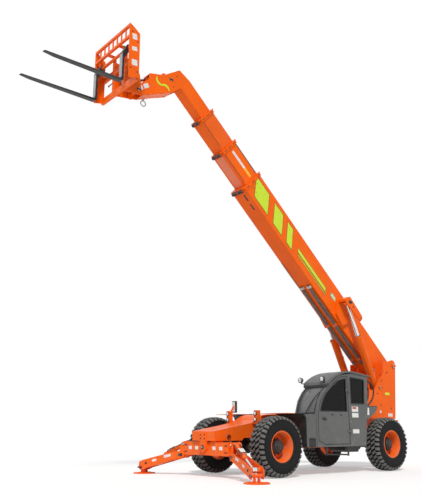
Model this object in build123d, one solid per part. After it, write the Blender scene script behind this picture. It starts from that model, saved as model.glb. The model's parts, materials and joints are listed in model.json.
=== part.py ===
from build123d import *
import math
import os

# Telescopic handler with a four-section boom, a gooseneck head, a fork carriage and
# front outriggers. Millimetres. The front is -Y, the operator's left is +X, the ground
# is z = 0. Everything is laid out with y = 0 at the front axle, and write() then moves
# it so that y = 0 is the middle of the whole machine.

os.makedirs("parts", exist_ok=True)

# ---------------------------------------------------------------- driving dimensions
WHEELBASE = 4070.0
TRACK_HALF = 1119.0  # tyre's middle plane to the machine's middle plane
KINGPIN_X = 850.0
STEER_CLEAR = 7.0  # fender to the tyre's widest sweep

TYRE_RADIUS = 675.0
TYRE_WIDTH = 445.0
TYRE_CROWN_DROP = 14.0
TYRE_WALL = 34.0
BEAD_RADIUS = 320.0
BEAD_HALF = 178.0
RIM_FLANGE_RADIUS = 352.0
RIM_FLANGE = 14.0
RIM_WALL = 11.0
RIM_DISC = 20.0
RIM_DISC_X = -70.0  # disc's outer face, from the tyre's middle plane
HUB_RADIUS = 150.0
HUB_OUT = 62.0
HUB_IN = -60.0
SPINDLE_RADIUS = 60.0
SPINDLE_END = 40.0
RUNNING = 0.05  # radial clearance of a turning shaft
LUG_GAP = 2.0

AXLE_TUBE_RADIUS = 100.0
AXLE_TUBE_HALF = 745.0
DIFF_RADIUS = 175.0
DIFF_LENGTH = 330.0
KINGPIN_RADIUS = 30.0
KNUCKLE_RADIUS = 55.0
KNUCKLE_HALF = 118.0
YOKE_THICK = 40.0
AXLE_PAD_X = 60.0
AXLE_PAD_Y = 150.0

RAIL_HALF = 400.0
RAIL_PLATE = 30.0
RAIL_OVER_AXLE = 860.0
NOSE_FRONT = -1240.0
NOSE_LOW = 800.0
NOSE_TOP_FRONT = 1010.0
NOSE_TOP_REAR = 1190.0
COWL_TOP = 1280.0
MID_TOP = 1080.0
MID_LOW = 600.0
REAR_LOW = 640.0
REAR_Y = 5280.0
NOSE_HOLE_RADIUS = 42.0

BOOM_ANGLE = 42.75
PIVOT_Y = 5347.0
PIVOT_Z = 2823.0
PIVOT_PIN_RADIUS = 60.0
PIVOT_BOSS_RADIUS = 118.0
TOWER_INNER = 300.0
TOWER_OUTER = 600.0
TOWER_PLATE = 30.0
TOWER_EAR = 165.0
SIDE_CLEAR = 6.0

MAIN_WIDTH = 520.0
MAIN_TOP = 260.0
SIDE_PAD = 25.0
TOP_PAD = 13.0
PAD_LENGTH = 150.0
PAD_CLEAR = 0.5
COLLAR = 22.0
COLLAR_LENGTH = 100.0
COLLAR_PLATE = 20.0
COLLAR_CLEAR = 8.0
#              name     height  wall   tail     front
SECTIONS = (("main", 740.0, 12.0, -150.0, 6950.0),
            ("second", 580.0, 10.0, 2650.0, 8050.0),
            ("third", 507.0, 10.0, 3750.0, 9050.0),
            ("tip", 400.0, 8.0, 4750.0, 10060.0))

HEAD_HALF = 153.0
HEAD_PLATE = 16.0
HEAD_PIN_RADIUS = 40.0
HEAD_PIVOT_Y = -3400.0
HEAD_PIVOT_Z = 8930.0

LIFT_PIN_S = 2450.0
LIFT_PIN_T = 30.0
LIFT_BASE_Y = 4660.0
LIFT_BASE_Z = 2185.0
LIFT_X = 450.0
LIFT_BARREL_RADIUS = 100.0
LIFT_BARREL_WALL = 14.0
LIFT_BARREL_LENGTH = 1560.0
LIFT_GLAND = 8.0
LIFT_ROD_RADIUS = 58.0
LIFT_PIN_RADIUS = 45.0
LIFT_EYE_HALF = 70.0
LIFT_EYE_RADIUS = 95.0

CARRIAGE_HALF = 810.0
CARRIAGE_FRONT = -4070.0
CARRIAGE_BACK = -3790.0
CARRIAGE_TOP = 10150.0
CARRIAGE_LOW = 8700.0
CARRIAGE_PLATE = 30.0
SHAFT_RADIUS = 38.0
SHAFT_Y = -3990.0
SHAFT_Z = 9600.0
FORK_X = 606.0
FORK_WIDTH = 130.0
FORK_THICK = 55.0
FORK_LENGTH = 1880.0
FORK_UNDER = 8690.0
FORK_FACE = -4160.0
FORK_TAPER = 14.0

SPLAY = 21.0
ARM_PIVOT_X = 955.0
ARM_PIVOT_Y = -1060.0
ARM_PIVOT_Z = 470.0
ARM_HALF = 140.0
ARM_PLATE = 20.0
FOOT_U = 1165.0
FOOT_Z = 150.0
ARM_PIN_RADIUS = 40.0
FOOT_PIN_RADIUS = 30.0
PAD_RADIUS = 270.0
PAD_THICK = 22.0
BEAM_HALF = 800.0
BEAM_FRONT = -1180.0
BEAM_REAR = -930.0
BEAM_LOW = 480.0
BEAM_TOP = 770.0
BEAM_WALL = 15.0
STAB_TOP_U = -45.0
STAB_TOP_Z = 715.0
STAB_EYE_U = 1030.0
STAB_EYE_Z = 250.0
STAB_BARREL_RADIUS = 50.0
STAB_BARREL_LENGTH = 660.0
STAB_ROD_RADIUS = 28.0
STAB_PIN_RADIUS = 30.0
STAB_EYE_RADIUS = 55.0

CAB_INNER = 500.0
CAB_OUTER = 1220.0
CAB_WALL = 50.0
GLASS = 6.0
GLASS_INSET = 18.0
GLASS_CLEAR = 0.3
DOOR_CLEAR = 6.0
DOOR_HINGE_RADIUS = 14.0

HOOD_OUTER = 1210.0
HOOD_TOP = 1410.0
HOOD_FRONT = 980.0
HOOD_REAR = 3230.0
HOOD_LOW = 640.0
HOOD_SHEET = 8.0


# ---------------------------------------------------------------- plain helpers
def plate(outline, x_low, x_high):
    """A flat piece across X, cut to an outline of (y, z) points."""
    face = make_face(Polyline(*outline, close=True))
    plane = Plane(origin=(x_low, 0, 0), x_dir=(0, 1, 0), z_dir=(1, 0, 0))
    return extrude(plane * face, amount=x_high - x_low)


def plates(outline, x_low, x_high):
    """The same piece on both sides of the middle plane."""
    return plate(outline, x_low, x_high) + plate(outline, -x_high, -x_low)


def block(x_low, x_high, y_low, y_high, z_low, z_high):
    """A box between two corners."""
    size = Box(x_high - x_low, y_high - y_low, z_high - z_low)
    middle = ((x_low + x_high) / 2, (y_low + y_high) / 2, (z_low + z_high) / 2)
    return Pos(*middle) * size


def rod(start, end, radius):
    """A round bar from one point to another."""
    start = Vector(*start)
    run = Vector(*end) - start
    bar = Cylinder(radius, run.length, align=(Align.CENTER, Align.CENTER, Align.MIN))
    return Plane(origin=start, z_dir=run) * bar


def tube(start, end, outer, inner):
    """A round tube from one point to another."""
    return rod(start, end, outer) - rod(start, end, inner)


def across(y, z, half, radius):
    """A round bar along X, centred on the middle plane."""
    return rod((-half, y, z), (half, y, z), radius)


def cross_bar(y, z, x_low, x_high, radius):
    """A round bar along X between two planes."""
    return rod((x_low, y, z), (x_high, y, z), radius)


def mirrored(piece):
    """The piece on the other side of the middle plane."""
    return mirror(piece, about=Plane.YZ)


def turned(profile, x_shift=0.0):
    """A piece of revolution about the X axis, from (x, radius) points."""
    face = make_face(Polyline(*profile, close=True))
    return Pos(x_shift, 0, 0) * revolve(face, axis=Axis.X)


NODES = {}


def keep(name, piece):
    """Files a finished piece under its node's name."""
    NODES[name] = piece


# ---------------------------------------------------------------- boom directions
ALONG = (-math.cos(math.radians(BOOM_ANGLE)), math.sin(math.radians(BOOM_ANGLE)))
UPWARD = (math.sin(math.radians(BOOM_ANGLE)), math.cos(math.radians(BOOM_ANGLE)))


def on_boom(s, t):
    """(y, z) of a point s along the boom from its pivot and t above its line."""
    y = PIVOT_Y + s * ALONG[0] + t * UPWARD[0]
    z = PIVOT_Z + s * ALONG[1] + t * UPWARD[1]
    return y, z


def boom_box(x_half, s_low, s_high, t_low, t_high):
    """A box lined up with the boom, centred on the middle plane."""
    outline = [on_boom(s_low, t_low), on_boom(s_high, t_low)]
    outline += [on_boom(s_high, t_high), on_boom(s_low, t_high)]
    return plate(outline, -x_half, x_half)


def boom_side_box(x_low, x_high, s_low, s_high, t_low, t_high):
    """The same between two X planes."""
    outline = [on_boom(s_low, t_low), on_boom(s_high, t_low)]
    outline += [on_boom(s_high, t_high), on_boom(s_low, t_high)]
    return plate(outline, x_low, x_high)


# ---------------------------------------------------------------- wheels and axles
def tyre_at(y):
    """A tyre: a C-shaped section turned about the wheel's axis."""
    half = TYRE_WIDTH / 2
    crown = TYRE_RADIUS - TYRE_CROWN_DROP
    outer = [(-BEAD_HALF, BEAD_RADIUS), (-BEAD_HALF, RIM_FLANGE_RADIUS)]
    outer += [(-half, 430.0), (-half, 540.0), (-half + 20, crown - 22)]
    outer += [(-half + 52, crown), (0.0, TYRE_RADIUS), (half - 52, crown)]
    outer += [(half - 20, crown - 22), (half, 540.0), (half, 430.0)]
    outer += [(BEAD_HALF, RIM_FLANGE_RADIUS), (BEAD_HALF, BEAD_RADIUS)]
    inside = half - TYRE_WALL
    inner = [(BEAD_HALF - TYRE_WALL, BEAD_RADIUS), (inside, 430.0), (inside, 540.0)]
    inner += [(inside - 24, crown - 62), (-inside + 24, crown - 62)]
    inner += [(-inside, 540.0), (-inside, 430.0), (-BEAD_HALF + TYRE_WALL, BEAD_RADIUS)]
    ring = turned(outer + inner, TRACK_HALF)
    return Pos(0, y, TYRE_RADIUS) * ring


def rim_at(y):
    """A drop-less rim with its recessed disc and planetary hub, bored for the spindle."""
    half = BEAD_HALF + RIM_FLANGE
    inner = BEAD_RADIUS - RIM_WALL
    barrel = [(-half, inner), (-half, RIM_FLANGE_RADIUS), (-BEAD_HALF, RIM_FLANGE_RADIUS)]
    barrel += [(-BEAD_HALF, BEAD_RADIUS), (BEAD_HALF, BEAD_RADIUS)]
    barrel += [(BEAD_HALF, RIM_FLANGE_RADIUS), (half, RIM_FLANGE_RADIUS), (half, inner)]
    rim = turned(barrel)
    rim += cross_bar(0, 0, RIM_DISC_X - RIM_DISC, RIM_DISC_X, inner + 1.0)
    rim += cross_bar(0, 0, HUB_IN - 40.0, HUB_OUT, HUB_RADIUS)
    bore = SPINDLE_RADIUS + RUNNING
    rim -= cross_bar(0, 0, HUB_IN - 41.0, SPINDLE_END + 5.0, bore)
    return Pos(TRACK_HALF, y, TYRE_RADIUS) * rim


def knuckle_at(y):
    """A steering knuckle: a bored upright and the spindle it carries."""
    boss = Cylinder(KNUCKLE_RADIUS, 2 * KNUCKLE_HALF)
    spindle = cross_bar(0, 0, 20.0, TRACK_HALF - KINGPIN_X + SPINDLE_END, SPINDLE_RADIUS)
    flange = cross_bar(0, 0, KNUCKLE_RADIUS - 5.0, KNUCKLE_RADIUS + 25.0, 110.0)
    knuckle = boss + spindle + flange - Cylinder(KINGPIN_RADIUS + RUNNING, 3 * KNUCKLE_HALF)
    return Pos(KINGPIN_X, y, TYRE_RADIUS) * knuckle


def axle_at(y):
    """A rigid driving axle: its tube, differential, yokes, kingpins and frame pads."""
    axle = across(0, 0, AXLE_TUBE_HALF, AXLE_TUBE_RADIUS)
    axle += across(0, 0, DIFF_LENGTH / 2, DIFF_RADIUS)
    axle += rod((0, 0, 0), (0, DIFF_RADIUS + 60.0, 0), 80.0)
    low = KNUCKLE_HALF + LUG_GAP
    high = low + YOKE_THICK
    web = KINGPIN_X - KNUCKLE_RADIUS - 45.0
    for side in (1, -1):
        x_out = side * KINGPIN_X
        x_in = side * web
        ends = sorted((x_in, x_out))
        cheek = sorted((side * (web - 60.0), side * web))
        axle += block(cheek[0], cheek[1], -KNUCKLE_RADIUS, KNUCKLE_RADIUS, -high, high)
        for level in (low, -high):
            arm = block(ends[0], ends[1], -KNUCKLE_RADIUS, KNUCKLE_RADIUS, level, level + YOKE_THICK)
            axle += arm
            axle += rod((x_out, 0, level), (x_out, 0, level + YOKE_THICK), KNUCKLE_RADIUS)
        axle += rod((x_out, 0, -high), (x_out, 0, high), KINGPIN_RADIUS)
        inner = side * (RAIL_HALF - AXLE_PAD_X)
        ends = sorted((inner, side * RAIL_HALF))
        top = RAIL_OVER_AXLE - TYRE_RADIUS
        axle += block(ends[0], ends[1], -AXLE_PAD_Y / 2, AXLE_PAD_Y / 2, 0.0, top)
    return Pos(0, y, TYRE_RADIUS) * axle


for end, axle_y in (("front", 0.0), ("rear", WHEELBASE)):
    keep(f"axle_{end}", axle_at(axle_y))
    for side in ("left", "right"):
        made = (tyre_at(axle_y), rim_at(axle_y), knuckle_at(axle_y))
        for name, piece in zip(("tyre", "rim", "knuckle"), made):
            keep(f"{name}_{end}_{side}", piece if side == "left" else mirrored(piece))


# ---------------------------------------------------------------- chassis
RAIL_OUTLINE = [
    (NOSE_FRONT, NOSE_LOW), (NOSE_FRONT, NOSE_TOP_FRONT), (-120.0, NOSE_TOP_REAR),
    (110.0, COWL_TOP), (860.0, COWL_TOP), (960.0, MID_TOP), (4180.0, MID_TOP),
    (4250.0, 1330.0), (REAR_Y, 1330.0), (REAR_Y, REAR_LOW),
    (WHEELBASE + 720.0, REAR_LOW), (WHEELBASE + 330.0, RAIL_OVER_AXLE),
    (WHEELBASE - 330.0, RAIL_OVER_AXLE), (WHEELBASE - 700.0, MID_LOW),
    (720.0, MID_LOW), (330.0, RAIL_OVER_AXLE), (-340.0, RAIL_OVER_AXLE), (-400.0, NOSE_LOW),
]

TOWER_FOOT = 1330.0
TOWER_OUTLINE = [
    (4150.0, TOWER_FOOT), (4280.0, 1840.0), (4420.0, 2120.0), (4600.0, 2360.0),
    (4850.0, 2590.0), (4880.0, 2915.0), (5080.0, 2930.0),
    (PIVOT_Y - 60.0, PIVOT_Z + TOWER_EAR), (PIVOT_Y + 40.0, PIVOT_Z + TOWER_EAR),
    (PIVOT_Y + 110.0, PIVOT_Z + 60.0), (PIVOT_Y + 90.0, PIVOT_Z - 130.0),
    (REAR_Y + 20.0, 1440.0), (REAR_Y, TOWER_FOOT),
]


def chassis_frame():
    """The welded frame: two deep rails, the nose, cross plates and the boom tower."""
    inside = RAIL_HALF - RAIL_PLATE
    frame = plates(RAIL_OUTLINE, inside, RAIL_HALF)
    skin = 16.0
    nose_top = [(NOSE_FRONT, NOSE_TOP_FRONT), (-120.0, NOSE_TOP_REAR), (110.0, COWL_TOP)]
    nose_top += [(860.0, COWL_TOP), (860.0, COWL_TOP - skin), (115.0, COWL_TOP - skin)]
    nose_top += [(-115.0, NOSE_TOP_REAR - skin), (NOSE_FRONT, NOSE_TOP_FRONT - skin)]
    frame += plate(nose_top, -inside, inside)
    frame += block(-inside, inside, NOSE_FRONT, NOSE_FRONT + 30.0, NOSE_LOW, NOSE_TOP_FRONT)
    frame += block(-inside, inside, NOSE_FRONT, -400.0, NOSE_LOW, NOSE_LOW + skin)
    for y in (720.0, 2100.0, 3350.0):
        frame += block(-inside, inside, y, y + 40.0, MID_LOW, MID_TOP)
    frame += plates(TOWER_OUTLINE, TOWER_INNER, TOWER_INNER + TOWER_PLATE)
    frame += plates(TOWER_OUTLINE, TOWER_OUTER - TOWER_PLATE, TOWER_OUTER)
    flange = [(4150.0, TOWER_FOOT), (4280.0, 1840.0), (4420.0, 2120.0), (4450.0, 2110.0)]
    flange += [(4310.0, 1835.0), (4190.0, 1360.0), (REAR_Y - 30.0, 1360.0)]
    flange += [(REAR_Y + 70.0, 2300.0), (REAR_Y + 95.0, 2300.0), (REAR_Y + 20.0, 1440.0)]
    flange += [(REAR_Y, TOWER_FOOT)]
    frame += plates(flange, TOWER_INNER, TOWER_OUTER)
    rear = [(REAR_Y - 30.0, REAR_LOW), (REAR_Y - 30.0, TOWER_FOOT), (REAR_Y + 60.0, 2200.0)]
    rear += [(REAR_Y + 85.0, 2200.0), (REAR_Y + 20.0, 1440.0), (REAR_Y, 1330.0), (REAR_Y, REAR_LOW)]
    frame += plate(rear, -TOWER_INNER, TOWER_INNER)
    frame += block(-TOWER_INNER, TOWER_INNER, 4250.0, 4280.0, RAIL_OVER_AXLE, 1700.0)
    frame += block(-inside, inside, 4400.0, REAR_Y, 1290.0, TOWER_FOOT)
    frame -= across(PIVOT_Y, PIVOT_Z, TOWER_OUTER + 1.0, PIVOT_PIN_RADIUS)
    frame -= across(LIFT_BASE_Y, LIFT_BASE_Z, TOWER_OUTER + 1.0, LIFT_PIN_RADIUS)
    frame -= across(-800.0, 880.0, RAIL_HALF + 1.0, NOSE_HOLE_RADIUS)
    return frame


keep("chassis_frame", chassis_frame())
pins = across(PIVOT_Y, PIVOT_Z, TOWER_OUTER + 22.0, PIVOT_PIN_RADIUS)
for side in (1, -1):
    ends = sorted((side * TOWER_INNER, side * (TOWER_OUTER + 20.0)))
    pins += cross_bar(LIFT_BASE_Y, LIFT_BASE_Z, ends[0], ends[1], LIFT_PIN_RADIUS)
keep("tower_pins", pins)

weight = block(-TOWER_OUTER, TOWER_OUTER, REAR_Y, REAR_Y + 130.0, 700.0, 1300.0)
keep("counterweight", weight)


# ---------------------------------------------------------------- boom sections
def section_sizes():
    """Half width, top and bottom of each section, each fitted inside the one before."""
    sizes = []
    half, top = MAIN_WIDTH / 2, MAIN_TOP
    for name, height, wall, tail, front in SECTIONS:
        sizes.append((name, half, top, top - height, wall, tail, front))
        half = half - wall - SIDE_PAD
        top = top - wall - TOP_PAD
    return sizes


SIZES = section_sizes()


def section_tube(size):
    """A section's welded box, open at both ends."""
    _, half, top, low, wall, tail, front = size
    outer = boom_box(half, tail, front, low, top)
    return outer - boom_box(half - wall, tail - 1.0, front + 1.0, low + wall, top - wall)


def section_collar(size, inner_size):
    """The stiffening frame round a section's mouth, with its front plate."""
    _, half, top, low, _, _, front = size
    _, in_half, in_top, in_low, _, _, _ = inner_size
    ring = boom_box(half + COLLAR, front - COLLAR_LENGTH, front, low - COLLAR, top + COLLAR)
    ring -= boom_box(half, front - COLLAR_LENGTH - 1.0, front - COLLAR_PLATE, low, top)
    hole = COLLAR_CLEAR
    ring -= boom_box(in_half + hole, front - 100.0, front + 1.0, in_low - hole, in_top + hole)
    return ring


def pad_ring(size, inner_size, s_low, fixed_inside):
    """Four wear pads between two sections, fixed to one and just clear of the other."""
    _, half, top, low, wall, _, _ = size
    _, in_half, in_top, in_low, _, _, _ = inner_size
    out_gap = PAD_CLEAR if fixed_inside else 0.0
    in_gap = 0.0 if fixed_inside else PAD_CLEAR
    x_out = half - wall - out_gap
    x_in = in_half + in_gap
    t_top = top - wall - out_gap
    t_in_top = in_top + in_gap
    t_low = low + wall + out_gap
    t_in_low = in_low - in_gap
    s_high = s_low + PAD_LENGTH
    reach = in_half - 40.0
    pads = boom_box(reach, s_low, s_high, t_in_top, t_top)
    pads += boom_box(reach, s_low, s_high, t_low, t_in_low)
    middle = (in_top + in_low) / 2
    for x_low, x_high in ((x_in, x_out), (-x_out, -x_in)):
        pads += boom_side_box(x_low, x_high, s_low, s_high, middle - 140.0, middle + 140.0)
    return pads


def boom_main():
    """The main section with its foot, lift-cylinder brackets and collar."""
    size = SIZES[0]
    _, half, top, low, wall, tail, front = size
    body = section_tube(size)
    foot = [on_boom(tail - 1.0, low - 1.0), on_boom(tail + 700.0, low - 1.0), on_boom(tail - 1.0, low + 330.0)]
    body -= plate(foot, -half - 1.0, half + 1.0)
    sole = [on_boom(tail, low + 330.0), on_boom(tail + 700.0, low), on_boom(tail + 700.0, low + wall)]
    sole += [on_boom(tail, low + 330.0 + wall * 1.4)]
    body += plate(sole, -half, half)
    body += section_collar(size, SIZES[1])
    boss = TOWER_INNER - SIDE_CLEAR
    for side in (1, -1):
        ends = sorted((side * (half - 40.0), side * boss))
        body += cross_bar(PIVOT_Y, PIVOT_Z, ends[0], ends[1], PIVOT_BOSS_RADIUS)
        body += lift_bracket(side)
    body -= across(PIVOT_Y, PIVOT_Z, boss + 1.0, PIVOT_PIN_RADIUS + RUNNING)
    return body


def lift_bracket(side):
    """The plates on one side of the boom that straddle a lift cylinder's eye."""
    half = MAIN_WIDTH / 2
    inner = [on_boom(2050.0, -470.0), on_boom(2450.0, -400.0), on_boom(2700.0, -60.0)]
    inner += [on_boom(2620.0, 130.0), on_boom(2050.0, 130.0), on_boom(1900.0, -100.0)]
    outer = [on_boom(1800.0, -60.0), on_boom(2560.0, -110.0), on_boom(2620.0, 0.0)]
    outer += [on_boom(2560.0, 150.0), on_boom(1860.0, 110.0), on_boom(1800.0, 60.0)]
    reach = LIFT_BARREL_RADIUS + LIFT_GLAND + SIDE_CLEAR
    inside = (half, LIFT_X - reach)
    outside = (LIFT_X + reach + 6.0, LIFT_X + reach + 36.0)
    low, high = sorted((side * inside[0], side * inside[1]))
    piece = plate(inner, low, high)
    low, high = sorted((side * outside[0], side * outside[1]))
    piece += plate(outer, low, high)
    bridge = [on_boom(2600.0, -100.0), on_boom(2650.0, -60.0), on_boom(2620.0, 60.0), on_boom(2590.0, 60.0)]
    low, high = sorted((side * half, side * outside[1]))
    piece += plate(bridge, low, high)
    return piece


keep("boom_main", boom_main())
keep("boom_main_pads", pad_ring(SIZES[0], SIZES[1], SIZES[0][6] - COLLAR_PLATE - PAD_LENGTH, False))

for index, name in ((1, "second"), (2, "third")):
    size, inner_size, outer_size = SIZES[index], SIZES[index + 1], SIZES[index - 1]
    keep(f"boom_{name}", section_tube(size) + section_collar(size, inner_size))
    front_pads = pad_ring(size, inner_size, size[6] - COLLAR_PLATE - PAD_LENGTH, False)
    keep(f"boom_{name}_pads", front_pads + pad_ring(outer_size, size, size[5] + 20.0, True))

HEAD_OUTLINE = [
    (-2160.0, 9920.0), (-2660.0, 9600.0), (-3060.0, 9510.0), (-3100.0, 9330.0),
    (-3340.0, 9130.0), (-3490.0, 8960.0), (-3490.0, 8800.0), (-3250.0, 8850.0),
    (-2400.0, 9205.0), on_boom(9960.0, SIZES[3][3]), on_boom(9960.0, SIZES[3][2]),
]


def boom_tip():
    """The tip section with the gooseneck head that carries the fork carriage."""
    size = SIZES[3]
    _, half, top, low, wall, tail, front = size
    outer = boom_box(half, tail, 9990.0, low, top)
    body = outer - boom_box(half - wall, tail - 1.0, 9970.0, low + wall, top - wall)
    head = plates(HEAD_OUTLINE, HEAD_HALF - HEAD_PLATE, HEAD_HALF)
    core = HEAD_HALF - HEAD_PLATE
    back = [(-2160.0, 9920.0), (-2660.0, 9600.0), (-3060.0, 9510.0), (-3056.0, 9490.0)]
    back += [(-2667.0, 9582.0), (-2172.0, 9900.0)]
    under = [(-3250.0, 8850.0), (-2400.0, 9205.0), (-2300.0, 9290.0), (-2310.0, 9310.0)]
    under += [(-2408.0, 9222.0), (-3240.0, 8872.0)]
    head += plate(back, -core, core) + plate(under, -core, core)
    body += head
    body -= across(HEAD_PIVOT_Y, HEAD_PIVOT_Z, HEAD_HALF + 1.0, HEAD_PIN_RADIUS + RUNNING)
    return body


keep("boom_tip", boom_tip())
keep("boom_tip_pads", pad_ring(SIZES[2], SIZES[3], SIZES[3][5] + 20.0, True))


# ---------------------------------------------------------------- lift cylinders
LIFT_TOP = on_boom(LIFT_PIN_S, LIFT_PIN_T)


def between(start, end, distance):
    """The (y, z) point a distance along the way from start to end."""
    length = math.dist(start, end)
    share = distance / length
    return start[0] + (end[0] - start[0]) * share, start[1] + (end[1] - start[1]) * share


def lift_barrel(x):
    """A lift cylinder's barrel with its base eye and gland."""
    base = (LIFT_BASE_Y, LIFT_BASE_Z)
    eye = cross_bar(base[0], base[1], x - LIFT_EYE_HALF, x + LIFT_EYE_HALF, LIFT_EYE_RADIUS)
    start = between(base, LIFT_TOP, 40.0)
    end = between(base, LIFT_TOP, LIFT_BARREL_LENGTH)
    gland = between(base, LIFT_TOP, LIFT_BARREL_LENGTH - 70.0)
    barrel = eye + rod((x, *start), (x, *end), LIFT_BARREL_RADIUS)
    barrel += rod((x, *gland), (x, *end), LIFT_BARREL_RADIUS + LIFT_GLAND)
    hollow = between(base, LIFT_TOP, 150.0)
    barrel -= rod((x, *hollow), (x, *gland), LIFT_BARREL_RADIUS - LIFT_BARREL_WALL)
    past = between(base, LIFT_TOP, LIFT_BARREL_LENGTH + 1.0)
    barrel -= rod((x, *gland), (x, *past), LIFT_ROD_RADIUS + RUNNING)
    barrel -= cross_bar(base[0], base[1], x - 200.0, x + 200.0, LIFT_PIN_RADIUS + RUNNING)
    return barrel


def lift_rod(x):
    """A lift cylinder's rod with its piston, eye and pin."""
    base = (LIFT_BASE_Y, LIFT_BASE_Z)
    tail = between(base, LIFT_TOP, 1000.0)
    piston = between(base, LIFT_TOP, 1090.0)
    piece = rod((x, *tail), (x, *LIFT_TOP), LIFT_ROD_RADIUS)
    piece += rod((x, *tail), (x, *piston), LIFT_BARREL_RADIUS - LIFT_BARREL_WALL - 0.5)
    piece += cross_bar(*LIFT_TOP, x - LIFT_EYE_HALF, x + LIFT_EYE_HALF, LIFT_EYE_RADIUS - 15.0)
    return piece


keep("lift_barrels", lift_barrel(LIFT_X) + lift_barrel(-LIFT_X))
keep("lift_rods", lift_rod(LIFT_X) + lift_rod(-LIFT_X))

# ---------------------------------------------------------------- carriage and forks
COUPLER_HALF = HEAD_HALF + SIDE_CLEAR


def carriage_frame():
    """The coupler round the head's pin, the side plates, rails and load backrest."""
    side = [(CARRIAGE_FRONT + 20.0, CARRIAGE_LOW + 60.0), (CARRIAGE_BACK, CARRIAGE_LOW + 120.0)]
    side += [(CARRIAGE_BACK, 9960.0), (CARRIAGE_FRONT + 80.0, CARRIAGE_TOP - 40.0)]
    side += [(CARRIAGE_FRONT, CARRIAGE_TOP), (CARRIAGE_FRONT, CARRIAGE_LOW + 100.0)]
    frame = plates(side, CARRIAGE_HALF - CARRIAGE_PLATE, CARRIAGE_HALF)
    inside = CARRIAGE_HALF - CARRIAGE_PLATE
    frame += block(-inside, inside, -3860.0, CARRIAGE_BACK, 8760.0, 8900.0)
    frame += block(-inside, inside, -3860.0, CARRIAGE_BACK, 9330.0, 9460.0)
    frame += block(-inside, inside, CARRIAGE_FRONT, CARRIAGE_FRONT + 60.0, CARRIAGE_TOP - 60.0, CARRIAGE_TOP)
    frame += block(-inside, inside, CARRIAGE_FRONT, CARRIAGE_FRONT + 60.0, 9800.0, 9860.0)
    bars = 8
    for number in range(1, bars):
        x = -inside + 2 * inside * number / bars
        frame += block(x - 15.0, x + 15.0, CARRIAGE_FRONT + 15.0, CARRIAGE_FRONT + 45.0, 9840.0, CARRIAGE_TOP - 20.0)
    for x in (-260.0, 260.0):
        frame += block(x - 25.0, x + 25.0, -3860.0, CARRIAGE_BACK, 8800.0, 9860.0)
        frame += block(x - 25.0, x + 25.0, CARRIAGE_FRONT, CARRIAGE_BACK, 9800.0, 9860.0)
    ear = [(HEAD_PIVOT_Y + 75.0, HEAD_PIVOT_Z - 60.0), (HEAD_PIVOT_Y + 75.0, HEAD_PIVOT_Z + 60.0)]
    ear += [(-3370.0, 9330.0), (-3480.0, 9560.0), (-3790.0, 9640.0), (-3800.0, 8760.0)]
    ear += [(HEAD_PIVOT_Y - 100.0, HEAD_PIVOT_Z - 120.0), (HEAD_PIVOT_Y + 20.0, HEAD_PIVOT_Z - 120.0)]
    frame += plates(ear, COUPLER_HALF, COUPLER_HALF + 25.0)
    frame += plates([(-3860.0, 8760.0), (-3790.0, 8760.0), (-3790.0, 9640.0), (-3860.0, 9640.0)],
                    COUPLER_HALF, 285.0)
    frame += across(HEAD_PIVOT_Y, HEAD_PIVOT_Z, COUPLER_HALF + 40.0, HEAD_PIN_RADIUS)
    frame += across(SHAFT_Y, SHAFT_Z, inside, SHAFT_RADIUS)
    return frame


keep("carriage_frame", carriage_frame())


def fork(x):
    """A pallet fork hung on the carriage's shaft."""
    back = FORK_FACE + FORK_THICK
    heel = FORK_UNDER
    top = heel + FORK_THICK
    outline = [(FORK_FACE - FORK_LENGTH, top - FORK_TAPER), (FORK_FACE, heel), (back, heel)]
    outline += [(back, 9420.0), (FORK_FACE, 9420.0), (FORK_FACE, top), (FORK_FACE - FORK_LENGTH, top)]
    half = FORK_WIDTH / 2
    piece = plate(outline, x - half, x + half)
    hook = [(back, 9300.0), (SHAFT_Y + 30.0, SHAFT_Z - 70.0), (SHAFT_Y + 60.0, SHAFT_Z + 60.0)]
    hook += [(SHAFT_Y - 40.0, SHAFT_Z + 70.0), (FORK_FACE, 9420.0), (back, 9400.0)]
    piece += plate(hook, x - half, x + half)
    piece -= cross_bar(SHAFT_Y, SHAFT_Z, x - half - 1.0, x + half + 1.0, SHAFT_RADIUS + RUNNING)
    return piece


keep("fork_left", fork(FORK_X))
keep("fork_right", fork(-FORK_X))

TILT_BASE = (-2420.0, 9560.0)
TILT_EYE = (HEAD_PIVOT_Y - 100.0, HEAD_PIVOT_Z + 335.0)
TILT_BARREL_LENGTH = 700.0
TILT_BARREL_RADIUS = 60.0
TILT_ROD_RADIUS = 32.0


def tilt_barrel():
    """The tilt cylinder's barrel, pinned between the head's side plates."""
    start = between(TILT_BASE, TILT_EYE, 30.0)
    end = between(TILT_BASE, TILT_EYE, TILT_BARREL_LENGTH)
    piece = across(*TILT_BASE, HEAD_HALF - HEAD_PLATE, 45.0)
    piece += rod((0, *start), (0, *end), TILT_BARREL_RADIUS)
    hollow = between(TILT_BASE, TILT_EYE, 90.0)
    past = between(TILT_BASE, TILT_EYE, TILT_BARREL_LENGTH + 1.0)
    piece -= rod((0, *hollow), (0, *past), TILT_ROD_RADIUS + RUNNING)
    return piece


def tilt_rod():
    """The tilt cylinder's rod and its eye."""
    start = between(TILT_BASE, TILT_EYE, 450.0)
    piece = rod((0, *start), (0, *TILT_EYE), TILT_ROD_RADIUS)
    return piece + across(*TILT_EYE, 60.0, 50.0)


keep("tilt_barrel", tilt_barrel())
keep("tilt_rod", tilt_rod())


# ---------------------------------------------------------------- outriggers
def splayed(piece):
    """Places a piece drawn in an arm's own frame: u outward, v backward, z up."""
    return Pos(ARM_PIVOT_X, ARM_PIVOT_Y, 0) * Rot(0, 0, -SPLAY) * piece


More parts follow.
